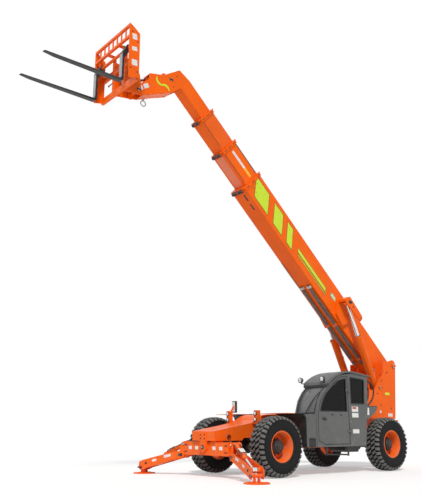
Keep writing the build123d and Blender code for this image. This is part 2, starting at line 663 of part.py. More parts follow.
def arm_plate(outline, v_low, v_high):
    """A plate cut to (u, z) points, between two v planes."""
    face = make_face(Polyline(*outline, close=True))
    plane = Plane(origin=(0, v_high, 0), x_dir=(1, 0, 0), z_dir=(0, -1, 0))
    return extrude(plane * face, amount=v_high - v_low)


def v_bar(u, z, v_low, v_high, radius):
    """A round bar along v."""
    return rod((u, v_low, z), (u, v_high, z), radius)


def outrigger_arm():
    """An arm of two side plates, joined by its pivot pin, belly plate and foot pin."""
    top, low = ARM_PIVOT_Z + 85.0, ARM_PIVOT_Z - 85.0
    side = [(-80.0, ARM_PIVOT_Z - 30.0), (-80.0, ARM_PIVOT_Z + 30.0), (-30.0, top)]
    side += [(160.0, top - 5.0), (1100.0, 330.0), (1230.0, 290.0), (1250.0, 150.0)]
    side += [(1200.0, 85.0), (1130.0, 85.0), (1000.0, 140.0), (60.0, low), (-30.0, low)]
    inner = ARM_HALF - ARM_PLATE
    arm = arm_plate(side, -ARM_HALF, -inner) + arm_plate(side, inner, ARM_HALF)
    arm += v_bar(0, ARM_PIVOT_Z, -ARM_HALF - 12.0, ARM_HALF + 12.0, ARM_PIN_RADIUS)
    arm += v_bar(FOOT_U, FOOT_Z, -ARM_HALF - 10.0, ARM_HALF + 10.0, FOOT_PIN_RADIUS)
    for v_low, v_high in ((-inner, -60.0), (60.0, inner)):
        arm += v_bar(STAB_EYE_U, STAB_EYE_Z, v_low, v_high, 60.0)
    belly = [(330.0, 345.0), (800.0, 196.0), (800.0, 212.0), (330.0, 361.0)]
    arm += arm_plate(belly, -inner, inner)
    return splayed(arm)


def outrigger_pad():
    """A round foot plate with the two lugs that hang on the arm's foot pin."""
    pad = Pos(FOOT_U, 0, PAD_THICK / 2) * Cylinder(PAD_RADIUS, PAD_THICK)
    lug = [(FOOT_U - 70.0, PAD_THICK - 1.0), (FOOT_U + 70.0, PAD_THICK - 1.0)]
    lug += [(FOOT_U + 45.0, FOOT_Z), (FOOT_U - 45.0, FOOT_Z)]
    for v_low, v_high in ((-60.0, -35.0), (35.0, 60.0)):
        pad += arm_plate(lug, v_low, v_high)
        pad += v_bar(FOOT_U, FOOT_Z, v_low, v_high, 50.0)
        pad -= v_bar(FOOT_U, FOOT_Z, v_low - 1.0, v_high + 1.0, FOOT_PIN_RADIUS + RUNNING)
    return splayed(pad)


STAB_TOP = (STAB_TOP_U, STAB_TOP_Z)
STAB_EYE = (STAB_EYE_U, STAB_EYE_Z)


def stab_rod_at(start, end, radius):
    """A round bar in the arm's middle plane between two (u, z) points."""
    return rod((start[0], 0, start[1]), (end[0], 0, end[1]), radius)


def outrigger_barrel():
    """An outrigger cylinder's barrel, hung on the crossbeam's upper pin."""
    start = between(STAB_TOP, STAB_EYE, 30.0)
    end = between(STAB_TOP, STAB_EYE, STAB_BARREL_LENGTH)
    piece = v_bar(*STAB_TOP, -80.0, 80.0, STAB_EYE_RADIUS)
    piece += stab_rod_at(start, end, STAB_BARREL_RADIUS)
    hollow = between(STAB_TOP, STAB_EYE, 90.0)
    past = between(STAB_TOP, STAB_EYE, STAB_BARREL_LENGTH + 1.0)
    piece -= stab_rod_at(hollow, past, STAB_ROD_RADIUS + RUNNING)
    piece -= v_bar(*STAB_TOP, -100.0, 100.0, STAB_PIN_RADIUS + RUNNING)
    return splayed(piece)


def outrigger_rod():
    """An outrigger cylinder's rod with the eye between the arm's tube stubs."""
    start = between(STAB_TOP, STAB_EYE, 480.0)
    piece = stab_rod_at(start, STAB_EYE, STAB_ROD_RADIUS)
    return splayed(piece + v_bar(*STAB_EYE, -50.0, 50.0, 58.0))


def crossbeam_end():
    """The ears on the crossbeam's left end, with the cylinder's pin."""
    ear = [(-260.0, 500.0), (-260.0, 760.0), (-110.0, 790.0), (0.0, 760.0)]
    ear += [(40.0, 660.0), (75.0, 520.0), (75.0, 420.0), (20.0, 390.0), (-60.0, 400.0)]
    piece = arm_plate(ear, -115.0, -95.0) + arm_plate(ear, 95.0, 115.0)
    piece -= v_bar(0, ARM_PIVOT_Z, -120.0, 120.0, ARM_PIN_RADIUS + RUNNING)
    piece += v_bar(*STAB_TOP, -125.0, 125.0, STAB_PIN_RADIUS)
    return splayed(piece)


def crossbeam():
    """The outrigger crossbeam under the nose, with ears at both ends."""
    beam = block(-BEAM_HALF, BEAM_HALF, BEAM_FRONT, BEAM_REAR, BEAM_LOW, BEAM_TOP)
    wall = BEAM_WALL
    beam -= block(-BEAM_HALF + wall, BEAM_HALF - wall, BEAM_FRONT + wall, BEAM_REAR - wall,
                  BEAM_LOW + wall, BEAM_TOP - wall)
    for side in (1, -1):
        ends = sorted((side * 180.0, side * 360.0))
        beam += block(ends[0], ends[1], BEAM_FRONT + 20.0, BEAM_REAR - 20.0, BEAM_TOP, NOSE_LOW)
    end = crossbeam_end()
    return beam + end + mirrored(end)


keep("crossbeam", crossbeam())
for side in ("left", "right"):
    made = (outrigger_arm(), outrigger_pad(), outrigger_barrel(), outrigger_rod())
    for name, piece in zip(("arm", "pad", "barrel", "rod"), made):
        keep(f"outrigger_{name}_{side}", piece if side == "left" else mirrored(piece))


# ---------------------------------------------------------------- cab
CAB_FLOOR = 640.0
ROOF_UNDER = [(1740.0, 2105.0), (2170.0, 2375.0), (2700.0, 2445.0), (3300.0, 2385.0)]
CAB_OUTLINE = [
    (1270.0, CAB_FLOOR), (1270.0, 1300.0), (1300.0, 1480.0), (1390.0, 1740.0), (1550.0, 1950.0),
    *ROOF_UNDER, (3260.0, 1610.0), (3110.0, CAB_FLOOR),
]
DOOR_OPENING = [
    (1340.0, 790.0), (1340.0, 1300.0), (1365.0, 1460.0), (1450.0, 1715.0), (1600.0, 1905.0),
    (1790.0, 2070.0), (2195.0, 2325.0), (2490.0, 2365.0), (2490.0, 700.0), (1560.0, 700.0),
]


def grown(outline, amount):
    """An outline's face, grown or shrunk by an amount."""
    face = make_face(Polyline(*outline, close=True))
    return offset(face, amount=amount, kind=Kind.INTERSECTION)


def cab_prism(face, x_low, x_high):
    """A (y, z) face made solid between two X planes."""
    plane = Plane(origin=(x_low, 0, 0), x_dir=(0, 1, 0), z_dir=(1, 0, 0))
    return extrude(plane * face, amount=x_high - x_low)


FRONT_CUT = (CAB_INNER + 60.0, CAB_OUTER - 70.0, 1000.0, 1735.0, 1420.0, 2150.0)
REAR_CUT = (CAB_INNER + 70.0, CAB_OUTER - 80.0, 3150.0, 3450.0, 1650.0, 2300.0)
QUARTER_WINDOW = [(2590.0, 1680.0), (2590.0, 2340.0), (3160.0, 2300.0), (3120.0, 1680.0)]
INNER_WINDOW = [(1700.0, 1500.0), (1560.0, 1700.0), (1800.0, 2030.0), (2200.0, 2290.0),
                (3150.0, 2290.0), (3120.0, 1600.0)]


def cab_shell():
    """The cab's welded shell, with the door opening and the window openings cut."""
    shell = plate(CAB_OUTLINE, CAB_INNER, CAB_OUTER)
    shell -= cab_prism(grown(CAB_OUTLINE, -CAB_WALL), CAB_INNER + CAB_WALL, CAB_OUTER - CAB_WALL)
    shell -= plate(DOOR_OPENING, CAB_OUTER - CAB_WALL - 1.0, CAB_OUTER + 1.0)
    shell -= plate(QUARTER_WINDOW, CAB_OUTER - CAB_WALL - 1.0, CAB_OUTER + 1.0)
    shell -= plate(INNER_WINDOW, CAB_INNER - 1.0, CAB_INNER + CAB_WALL + 1.0)
    shell -= block(*FRONT_CUT)
    shell -= block(*REAR_CUT)
    return shell


def pane_in(cut):
    """A pane that follows the cab's outline, inside one of the openings cut by a box."""
    skin = cab_prism(grown(CAB_OUTLINE, -GLASS_INSET), CAB_INNER, CAB_OUTER)
    skin -= cab_prism(grown(CAB_OUTLINE, -GLASS_INSET - GLASS), CAB_INNER - 1.0, CAB_OUTER + 1.0)
    x_low, x_high, y_low, y_high, z_low, z_high = cut
    gap = GLASS_CLEAR
    return skin & block(x_low + gap, x_high - gap, y_low + gap, y_high - gap, z_low + gap, z_high - gap)


def side_pane(outline, x_low):
    """A flat pane in a side opening."""
    return cab_prism(grown(outline, -GLASS_CLEAR), x_low, x_low + GLASS)


def cab_glass():
    """The fixed panes: windscreen, rear window, quarter window and inner side window."""
    panes = pane_in(FRONT_CUT) + pane_in(REAR_CUT)
    panes += side_pane(QUARTER_WINDOW, CAB_OUTER - GLASS_INSET - GLASS)
    panes += side_pane(INNER_WINDOW, CAB_INNER + GLASS_INSET)
    return panes


def cab_roof():
    """The roof cap with its front visor and rear spoiler."""
    cap = [(1690.0, 2080.0), (1660.0, 2120.0), (1680.0, 2195.0), (2180.0, 2430.0), (2680.0, 2500.0)]
    cap += [(3420.0, 2410.0), (3420.0, 2375.0), *reversed(ROOF_UNDER)]
    return plate(cap, CAB_INNER - 25.0, CAB_OUTER + 25.0)


DOOR_WINDOW = [
    (1430.0, 1480.0), (1500.0, 1700.0), (1640.0, 1870.0), (1830.0, 2035.0), (2205.0, 2265.0),
    (2430.0, 2300.0), (2430.0, 1480.0),
]
DOOR_HINGE_Y = 2515.0
DOOR_HINGE_X = CAB_OUTER + 18.0
DOOR_HINGE_LEVELS = (980.0, 1980.0)
DOOR_KNUCKLE = 50.0
DOOR_PIN_RADIUS = 7.0


def door():
    """The door: a framed panel with its hinge knuckles."""
    x_low, x_high = CAB_OUTER - 42.0, CAB_OUTER - 2.0
    panel = cab_prism(grown(DOOR_OPENING, -DOOR_CLEAR), x_low, x_high)
    panel -= plate(DOOR_WINDOW, x_low - 1.0, x_high + 1.0)
    for z in DOOR_HINGE_LEVELS:
        foot_y = DOOR_OPENING[7][0] - DOOR_CLEAR
        panel += block(x_high - 6.0, DOOR_HINGE_X, foot_y - 80.0, foot_y, z, z + DOOR_KNUCKLE)
        panel += block(CAB_OUTER + 5.0, DOOR_HINGE_X, foot_y - 80.0, DOOR_HINGE_Y, z, z + DOOR_KNUCKLE)
        panel += hinge_bar(z, z + DOOR_KNUCKLE, DOOR_HINGE_RADIUS)
        panel -= hinge_bar(z - 1.0, z + DOOR_KNUCKLE + 1.0, DOOR_PIN_RADIUS + RUNNING)
    return panel


def hinge_bar(z_low, z_high, radius):
    """A round bar on the door hinge's axis."""
    return rod((DOOR_HINGE_X, DOOR_HINGE_Y, z_low), (DOOR_HINGE_X, DOOR_HINGE_Y, z_high), radius)


def door_hinges():
    """The hinge halves on the cab: a bracket under each knuckle, with its pin."""
    hinges = []
    for z in DOOR_HINGE_LEVELS:
        low = z - LUG_GAP - 30.0
        bracket = block(CAB_OUTER, DOOR_HINGE_X, DOOR_HINGE_Y, DOOR_HINGE_Y + 60.0, low, z - LUG_GAP)
        bracket += hinge_bar(low, z - LUG_GAP, DOOR_HINGE_RADIUS)
        bracket += hinge_bar(low, z + DOOR_KNUCKLE + 6.0, DOOR_PIN_RADIUS)
        hinges.append(bracket)
    return hinges[0] + hinges[1]


keep("cab_shell", cab_shell() + door_hinges())
keep("cab_glass", cab_glass())
keep("cab_roof", cab_roof())
keep("door", door())
keep("door_glass", side_pane(DOOR_WINDOW, CAB_OUTER - GLASS_INSET - GLASS))

floor = CAB_FLOOR + CAB_WALL
seat_base = block(680.0, 1060.0, 2420.0, 2880.0, floor, 960.0)
keep("seat_base", seat_base)
seat = block(640.0, 1100.0, 2300.0, 2860.0, 960.0, 1100.0)
seat += plate([(2790.0, 1100.0), (2900.0, 1100.0), (3050.0, 1720.0), (2960.0, 1730.0)], 650.0, 1090.0)
keep("seat", seat)
wheel_middle = Vector(870.0, 2010.0, 1470.0)
column_foot = Vector(870.0, 1650.0, floor + 60.0)
tilt_plane = Plane(origin=wheel_middle, z_dir=wheel_middle - column_foot)
column = rod(tuple(column_foot), tuple(wheel_middle), 45.0)
column += block(790.0, 950.0, 1560.0, 1740.0, floor, floor + 100.0)
column += tilt_plane * Torus(190.0, 16.0)
for angle in (90.0, 210.0, 330.0):
    spoke = Rot(0, 0, angle) * Pos(95.0, 0, 0) * Box(190.0, 26.0, 12.0)
    column += tilt_plane * spoke
keep("steering_column", column)

# ---------------------------------------------------------------- side bodies
hood = block(-HOOD_OUTER, -RAIL_HALF, HOOD_FRONT, HOOD_REAR, HOOD_LOW, HOOD_TOP)
hood -= block(-HOOD_OUTER + HOOD_SHEET, -RAIL_HALF - HOOD_SHEET, HOOD_FRONT + HOOD_SHEET,
              HOOD_REAR - HOOD_SHEET, HOOD_LOW - 1.0, HOOD_TOP - HOOD_SHEET)
keep("engine_hood", hood)
engine = block(-1120.0, -RAIL_HALF - HOOD_SHEET, 1300.0, 2500.0, 700.0, 1300.0)
keep("engine_block", engine)

cowl = block(RAIL_HALF, CAB_OUTER, 868.0, 1270.0, 640.0, 1400.0)
cowl -= block(RAIL_HALF + 15.0, CAB_OUTER - 15.0, 880.0, 1258.0, 600.0, 1385.0)
keep("cab_cowl", cowl)


def fender(x_low, x_high):
    """A bent sheet over the back of a front wheel."""
    sweep = TYRE_RADIUS * math.cos(math.radians(35.0))
    sweep += (TRACK_HALF - KINGPIN_X + TYRE_WIDTH / 2) * math.sin(math.radians(35.0))
    inner = sweep + STEER_CLEAR
    outer = inner + 10.0
    outline = [(200.0, 1410.0), (200.0, 1420.0), (700.0, 1420.0), (outer, 1270.0), (outer, 640.0)]
    outline += [(inner, 640.0), (inner, 1266.0), (696.0, 1410.0)]
    return plate(outline, x_low, x_high)


keep("front_fenders", fender(RAIL_HALF, 1290.0) + fender(-1290.0, -RAIL_HALF))

posts = block(440.0, 560.0, -60.0, 50.0, 1200.0, 1490.0) + block(-560.0, -440.0, -60.0, 50.0, 1200.0, 1490.0)
posts += block(RAIL_HALF, 560.0, -80.0, 70.0, 1180.0, 1200.0) + block(-560.0, -RAIL_HALF, -80.0, 70.0, 1180.0, 1200.0)
keep("lamp_posts", posts)


# ---------------------------------------------------------------- output
def write():
    """Centres the machine along Y and writes one file for each node."""
    low = min(piece.bounding_box().min.Y for piece in NODES.values())
    high = max(piece.bounding_box().max.Y for piece in NODES.values())
    shift = -(low + high) / 2
    print("shift", round(shift, 3))
    for name, piece in NODES.items():
        placed = Pos(0, shift, 0) * piece
        placed.label = name
        export_step(placed, f"parts/{name}.step")


write()
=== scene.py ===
"""Telescopic handler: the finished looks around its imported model.

The layout is that of an add-on: settings, one operator for each group of pieces, one
panel, register and unregister. main() calls the operators in order. Lengths are metres.
Points are written with y = 0 at the front axle, and piece() moves them to the frame.
"""

import json
import math

import bmesh
import bpy
import numpy as np
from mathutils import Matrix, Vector

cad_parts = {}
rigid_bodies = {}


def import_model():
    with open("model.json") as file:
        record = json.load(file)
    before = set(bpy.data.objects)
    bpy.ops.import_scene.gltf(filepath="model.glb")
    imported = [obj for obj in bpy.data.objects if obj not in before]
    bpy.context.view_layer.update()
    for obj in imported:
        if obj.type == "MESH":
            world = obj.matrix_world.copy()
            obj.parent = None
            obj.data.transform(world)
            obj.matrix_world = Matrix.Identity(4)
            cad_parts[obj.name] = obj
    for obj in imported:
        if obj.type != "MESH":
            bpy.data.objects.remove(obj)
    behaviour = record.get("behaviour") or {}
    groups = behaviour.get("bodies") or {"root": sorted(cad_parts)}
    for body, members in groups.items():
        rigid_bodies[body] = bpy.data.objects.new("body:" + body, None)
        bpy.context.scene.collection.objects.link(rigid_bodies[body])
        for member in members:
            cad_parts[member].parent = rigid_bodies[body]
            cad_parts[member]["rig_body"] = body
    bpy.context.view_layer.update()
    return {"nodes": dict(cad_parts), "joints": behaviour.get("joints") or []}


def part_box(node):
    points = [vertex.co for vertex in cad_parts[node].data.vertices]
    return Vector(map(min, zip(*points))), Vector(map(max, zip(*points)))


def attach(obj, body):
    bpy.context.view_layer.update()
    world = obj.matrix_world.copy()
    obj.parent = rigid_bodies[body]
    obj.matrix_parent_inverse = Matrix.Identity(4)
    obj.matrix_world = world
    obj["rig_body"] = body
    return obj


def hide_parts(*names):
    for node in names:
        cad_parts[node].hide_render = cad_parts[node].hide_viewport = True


bl_info = {
    "name": "Telescopic handler finish",
    "version": (1, 0, 0),
    "blender": (4, 5, 0),
    "location": "3D View > Sidebar > Handler",
    "description": "Dresses a packed telescopic handler in its finished pieces and materials",
    "category": "Object",
}

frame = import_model()

# ---------------------------------------------------------------- places in the frame
JOINTS = {joint["name"]: joint for joint in frame["joints"]}
WHEEL_LOW, WHEEL_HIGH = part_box("tyre_front_left")
AXLE_Y = (WHEEL_LOW.y + WHEEL_HIGH.y) / 2
AXLE_Z = (WHEEL_LOW.z + WHEEL_HIGH.z) / 2
TRACK = (WHEEL_LOW.x + WHEEL_HIGH.x) / 2
REAR_LOW, REAR_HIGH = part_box("tyre_rear_left")
WHEELBASE = (REAR_LOW.y + REAR_HIGH.y) / 2 - AXLE_Y
PIVOT_Y = JOINTS["boom_lift"]["pos_m"][1] - AXLE_Y
PIVOT_Z = JOINTS["boom_lift"]["pos_m"][2]
ALONG = np.array(JOINTS["boom_extend"]["axis"])
UPWARD = np.array([0.0, ALONG[2], -ALONG[1]])
SIDES = (1.0, -1.0)   # left, right
HEAD_Y = JOINTS["fork_tilt"]["pos_m"][1] - AXLE_Y
HEAD_Z = JOINTS["fork_tilt"]["pos_m"][2]


# ---------------------------------------------------------------- settings
def length(name, text, default, low=0.0, high=2.0):
    """A length setting in metres."""
    return bpy.props.FloatProperty(name=name, description=text, default=default, min=low, max=high,
                                   unit="LENGTH", precision=4)


def colour(name, text, default):
    """A colour setting."""
    return bpy.props.FloatVectorProperty(name=name, description=text, default=default, size=3, min=0.0,
                                         max=1.0, subtype="COLOR")


class HandlerSizes(bpy.types.PropertyGroup):
    """Sizes of the finished pieces."""

    edge: length("Edge", "Width of the broken edge on plates", 0.004, 0.0005, 0.02)
    tread_depth: length("Tread depth", "Height of the tyre blocks", 0.031, 0.005, 0.04)
    tread_pitches: bpy.props.IntProperty(name="Tread pitches", description="Blocks round each tyre",
                                         default=34, min=12, max=60)
    film: length("Film", "Thickness of the blank plates", 0.0025, 0.001, 0.01)
    lens: bpy.props.FloatProperty(name="Lens", description="Focal length of the camera", default=47.42,
                                  min=10.0, max=200.0, subtype="DISTANCE_CAMERA")


class HandlerColours(bpy.types.PropertyGroup):
    """Colours of the finishes."""

    orange: colour("Orange", "Main paint", (0.98, 0.136, 0.003))
    grey: colour("Grey", "Cab and hood paint", (0.132, 0.138, 0.137))
    black: colour("Black", "Black paint", (0.012, 0.012, 0.012))
    # The grooves' near black is painted shade; the tread's grey is dust on the block faces.
    rubber: colour("Rubber", "Tyre rubber in the grooves", (0.010, 0.010, 0.011))
    tread: colour("Tread", "Tyre rubber on the faces of the blocks", (0.185, 0.184, 0.180))
    plastic: colour("Plastic", "Moulded plastic", (0.020, 0.020, 0.021))
    steel: colour("Steel", "Bare steel", (0.42, 0.41, 0.39))
    white: colour("White", "Blank white plates", (0.80, 0.80, 0.77))
    lime: colour("Lime", "Plain stripes", (0.60, 0.80, 0.010))
    cloth: colour("Cloth", "Seat cloth", (0.030, 0.030, 0.034))
    floor: colour("Floor", "Studio floor", (0.93, 0.93, 0.93))


def sizes():
    """The size settings of the scene."""
    return bpy.context.scene.handler_sizes


def colours():
    """The colour settings of the scene."""
    return bpy.context.scene.handler_colours


# ---------------------------------------------------------------- surfaces from arrays
# A part is (points, faces): an (n, 3) array, and a list of index arrays of one width each.
def grid_faces(rows, columns, wrap_rows=False, wrap_columns=False):
    """Quads over a grid of points numbered row by row, joined round where it wraps."""
    row = np.arange(rows if wrap_rows else rows - 1)
    column = np.arange(columns if wrap_columns else columns - 1)
    row, column = np.meshgrid(row, column, indexing="ij")
    next_row, next_column = (row + 1) % rows, (column + 1) % columns
    corners = [row * columns + column, row * columns + next_column, next_row * columns + next_column,
               next_row * columns + column]
    return np.stack(corners, -1).reshape(-1, 4)


def skin(rings, closed=False):
    """The surface through a row of equal rings; its ends are flat, or joined when closed."""
    rings = np.asarray(rings, float)
    rows, columns, _ = rings.shape
    faces = [grid_faces(rows, columns, closed, True)]
    if not closed:
        around = np.arange(columns)
        faces.append(np.stack([around[::-1], (rows - 1) * columns + around]))
    return rings.reshape(-1, 3), faces


def volume(part):
    """Signed volume: the sum of a . (b x c) / 6 over the fan triangles of every face."""
    points, faces = part
    total = 0.0
    for face in faces:
        first = points[face[:, 0]]
        for k in range(1, face.shape[1] - 1):
            total += np.einsum("ij,ij->", first, np.cross(points[face[:, k]], points[face[:, k + 1]]))
    return total / 6


def outward(part):
    """The part with its faces turned outwards, which makes its signed volume positive."""
    points, faces = part
    centred = (points - points.mean(0), faces)
    return part if volume(centred) >= 0 else (points, [face[:, ::-1] for face in faces])


def repeated(clouds, faces):
    """One part from a stack of moved copies of its points, each with the same faces."""
    steps = np.arange(len(clouds))[:, None, None] * clouds.shape[1]
    return clouds.reshape(-1, 3), [(face[None] + steps).reshape(-1, face.shape[1]) for face in faces]


def copies(part, offsets):
    """The part repeated at each offset, in one array sum."""
    return repeated(part[0][None] + np.reshape(offsets, (-1, 1, 3)), part[1])


def turned_copies(part, centre, turns):
    """The part repeated round a line along X through centre (y, z), once at each turn."""
    cos, sin = np.cos(turns)[:, None], np.sin(turns)[:, None]
    x, y, z = part[0].T[:, None] - np.reshape((0.0, *centre), (3, 1, 1))
    y, z = centre[0] + y * cos - z * sin, centre[1] + y * sin + z * cos
    return repeated(np.stack([x + 0 * cos, y, z], -1), part[1])


def mirrored(part):
    """The part on the other side of the middle plane."""
    points, faces = part
    return points * [-1.0, 1.0, 1.0], [face[:, ::-1] for face in faces]


def both(parts):
    """The parts and their mirror images."""
    return [*parts, *[mirrored(part) for part in parts]]


def moved(part, offset):
    """The part shifted by an offset."""
    return part[0] + np.asarray(offset, float), part[1]


def rounded(outline, radius, steps=3):
    """The outline with each corner P replaced by the curve (1-t)^2 A + 2t(1-t) P + t^2 B."""
    points = np.asarray(outline, float)
    before, after = np.roll(points, 1, 0) - points, np.roll(points, -1, 0) - points
    reach = np.broadcast_to(np.asarray(radius, float), (len(points),))
    reach_a = np.minimum(reach, 0.48 * np.linalg.norm(before, axis=1))[:, None]
    reach_b = np.minimum(reach, 0.48 * np.linalg.norm(after, axis=1))[:, None]
    start = points + before / np.linalg.norm(before, axis=1)[:, None] * reach_a
    end = points + after / np.linalg.norm(after, axis=1)[:, None] * reach_b
    t = np.linspace(0, 1, steps + 1)[None, :, None]
    curve = (1 - t) ** 2 * start[:, None] + 2 * t * (1 - t) * points[:, None] + t**2 * end[:, None]
    return curve.reshape(-1, 2)


def rectangle(u, v, radius, steps=3):
    """A rectangle between pairs of u and v with rounded corners."""
    return rounded([(u[0], v[0]), (u[1], v[0]), (u[1], v[1]), (u[0], v[1])], radius, steps)


def inset(outline, amount):
    """The outline moved inwards: each point by the mitre of its two edges' normals."""
    points = np.asarray(outline, float)
    area = np.sum(points[:, 0] * np.roll(points[:, 1], -1) - points[:, 1] * np.roll(points[:, 0], -1))
    edge = np.roll(points, -1, 0) - points
    edge = edge / np.maximum(np.linalg.norm(edge, axis=1), 1e-9)[:, None]
    normal = np.stack([edge[:, 1], -edge[:, 0]], 1) * (1.0 if area > 0 else -1.0)
    last = np.roll(normal, 1, 0)
    share = np.maximum(1 + np.sum(normal * last, 1), 0.5)[:, None]
    return points - amount * (normal + last) / share


def slab(outline, low, high, place, edge=None):
    """A flat piece with broken edges: four rings of the outline, the outer two inset.

    place(u, v, w) puts outline coordinates u, v and depth w into the frame."""
    edge = sizes().edge if edge is None else edge
    edge = min(edge, abs(high - low) * 0.3)
    outline = np.asarray(outline, float)
    inner = inset(outline, edge)
    rings = [(inner, low), (outline, low + edge), (outline, high - edge), (inner, high)]
    return skin([place(ring[:, 0], ring[:, 1], np.full(len(ring), depth)) for ring, depth in rings])


def across(u, v, w):
    """Outline in (y, z), depth along x."""
    return np.stack([w, u, v], -1)


def flat(u, v, w):
    """Outline in (x, y), depth along z."""
    return np.stack([u, v, w], -1)


def facing(u, v, w):
    """Outline in (x, z), depth along y."""
    return np.stack([u, w, v], -1)


def on_boom(u, v, w):
    """Outline in (s, t): along the boom from its pivot and up from its line; depth along x."""
    return np.stack([w, PIVOT_Y + u * ALONG[1] + v * UPWARD[1], PIVOT_Z + u * ALONG[2] + v * UPWARD[2]],
                    -1)


def under_boom(u, v, w):
    """Outline in (s, x) on the boom's belly, depth along t."""
    return on_boom(u, w, v)


def box(x, y, z, edge=None, corner=0.006):
    """A block between pairs of x, y and z, its upright edges rounded and its rims broken."""
    return slab(rectangle(x, y, corner, 2), *z, flat, edge)


def boom_box(s, t, x, edge=None):
    """The same, lined up with the boom."""
    return slab(rectangle(s, t, 0.006, 2), *x, on_boom, edge)


def frame_of(direction):
    """Two unit vectors square to a direction."""
    direction = np.asarray(direction, float) / np.linalg.norm(direction)
    side = np.cross(direction, (1.0, 0.0, 0.0) if abs(direction[0]) <= 0.95 else (0.0, 1.0, 0.3))
    side /= np.linalg.norm(side)
    return side, np.cross(direction, side)


def angles(count):
    """Equal steps round a full circle."""
    return np.linspace(0, 2 * np.pi, count, endpoint=False)


def circle(count, side, other):
    """A unit circle, cos a side + sin a other, or one circle for each pair of rows."""
    angle = angles(count)[:, None]
    return np.cos(angle) * side[..., None, :] + np.sin(angle) * other[..., None, :]


def turned(profile, start, direction, sides=24):
    """A profile of (distance, radius) pairs turned about a line: rings of r(cos a, sin a)."""
    direction = np.asarray(direction, float) / np.linalg.norm(direction)
    profile = np.asarray(profile, float)
    middle = np.asarray(start, float) + profile[:, :1] * direction
    return middle[:, None] + profile[:, 1][:, None, None] * circle(sides, *frame_of(direction))


def lathe(profile, start, direction, sides=24):
    """The solid that turning a profile gives."""
    return skin(turned(profile, start, direction, sides))


def bar(start, end, radius, sides=20, edge=0.003):
    """A round bar with broken ends."""
    run = np.subtract(end, start)
    reach = float(np.linalg.norm(run))
    edge = min(edge, 0.3 * radius, 0.3 * reach)
    profile = [(0, radius - edge), (edge, radius), (reach - edge, radius), (reach, radius - edge)]
    return lathe(profile, start, run, sides)


def collar(start, direction, profile, sides=32):
    """A closed profile of (distance, radius) pairs turned about a line: a ring."""
    return skin(turned(profile, start, direction, sides), closed=True)


def curve_through(points, per=6):
    """A smooth line through the points: each span is the Catmull-Rom cubic of its four."""
    points = np.asarray(points, float)
    if len(points) < 3:
        return points[0] + np.linspace(0, 1, 3)[:, None] * (points[-1] - points[0])
    padded = np.vstack([2 * points[0] - points[1], points, 2 * points[-1] - points[-2]])
    t = np.linspace(0, 1, per, endpoint=False)[:, None, None]
    a, b, c, d = padded[:-3], padded[1:-2], padded[2:-1], padded[3:]
    curve = 0.5 * (2 * b + (c - a) * t + (2 * a - 5 * b + 4 * c - d) * t**2 + (3 * b - a - 3 * c + d)
                   * t**3)
    return np.vstack([curve.transpose(1, 0, 2).reshape(-1, points.shape[1]), points[-1]])


def hose(points, radius, sides=8, per=6):
    """A round hose: a circle carried along the smooth line, square to its direction."""
    line = curve_through(points, per)
    along = np.gradient(line, axis=0)
    along /= np.linalg.norm(along, axis=1)[:, None]
    side = np.cross(along, (1.0, 0.0, 0.0))
    side /= np.maximum(np.linalg.norm(side, axis=1), 1e-9)[:, None]
    return skin(line[:, None] + radius * circle(sides, side, np.cross(along, side)))


def bolts(places, direction, radius=0.016, height=0.014):
    """Hexagon heads on washers at each place, along one direction."""
    washer = [(0, radius * 1.35), (height * 0.25, radius * 1.35)]
    head = [(0, radius), (height * 0.8, radius), (height, radius * 0.8)]
    return [copies(lathe(profile, (0, 0, 0), direction, sides), places)
            for profile, sides in ((washer, 12), (head, 6))]


def placed_object(name, data):
    """A new object, linked to the scene."""
    made = bpy.data.objects.new(name, data)
    bpy.context.scene.collection.objects.link(made)
    return made


def piece(name, body, groups, replaces=(), smooth=32.0, tone=None):
    """One finished object from {finish: parts}: joined, faced outwards, set in the frame.

    Each finish gets a material slot in turn, and tone is an optional value per point."""
    points, faces, owners, start = [], [], [], 0
    for number, parts in enumerate(groups.values()):
        for part in parts:
            part_points, part_faces = outward(part)
            points.append(part_points)
            for face in part_faces:
                faces += (face + start).tolist()
                owners += [number] * len(face)
            start += len(part_points)
    mesh = bpy.data.meshes.new(name)
    mesh.from_pydata((np.vstack(points) + [0.0, AXLE_Y, 0.0]).tolist(), [], faces)
    mesh.polygons.foreach_set("material_index", np.array(owners, np.int32))
    if tone is not None:
        attribute = mesh.attributes.new("tone", "FLOAT", "POINT")
        attribute.data.foreach_set("value", np.asarray(tone, np.float32))
    mesh.shade_smooth()
    mesh.set_sharp_from_angle(angle=math.radians(smooth))
    mesh.update()
    if mesh.validate():
        raise RuntimeError(f"{name} has broken faces")
    made = placed_object(name, mesh)
    for finish in groups:
        mesh.materials.append(material(finish))
    slot = next(iter(groups))
    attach(made, body)
    if replaces:
        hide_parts(*replaces)
    return made


# ---------------------------------------------------------------- shared shapes
def sampled(steps, per=7):
    """Points and (middle, end) arcs as one outline: an arc is c + r (cos a, sin a)."""
    line = [np.array(steps[0], float)]
    for step in steps[1:]:
        if not isinstance(step[0], tuple):
            line.append(np.array(step, float))
            continue
        start, middle, end = line[-1], np.array(step[0], float), np.array(step[1], float)
        a, b = middle - start, end - start
        cross = 2 * (a[0] * b[1] - a[1] * b[0])
        to_centre = np.array([b[1] * (a @ a) - a[1] * (b @ b), a[0] * (b @ b) - b[0] * (a @ a)]) / cross
        centre = start + to_centre
        first, half, last = [math.atan2(*(point - centre)[::-1]) for point in (start, middle, end)]
        sweep = (last - first) % (2 * math.pi)
        if (half - first) % (2 * math.pi) > sweep:
            sweep -= 2 * math.pi
        angle = first + sweep * np.arange(1, per + 1) / per
        reach = np.linalg.norm(to_centre)
        line += list(centre + reach * np.stack([np.cos(angle), np.sin(angle)], 1))
    return np.array(line)


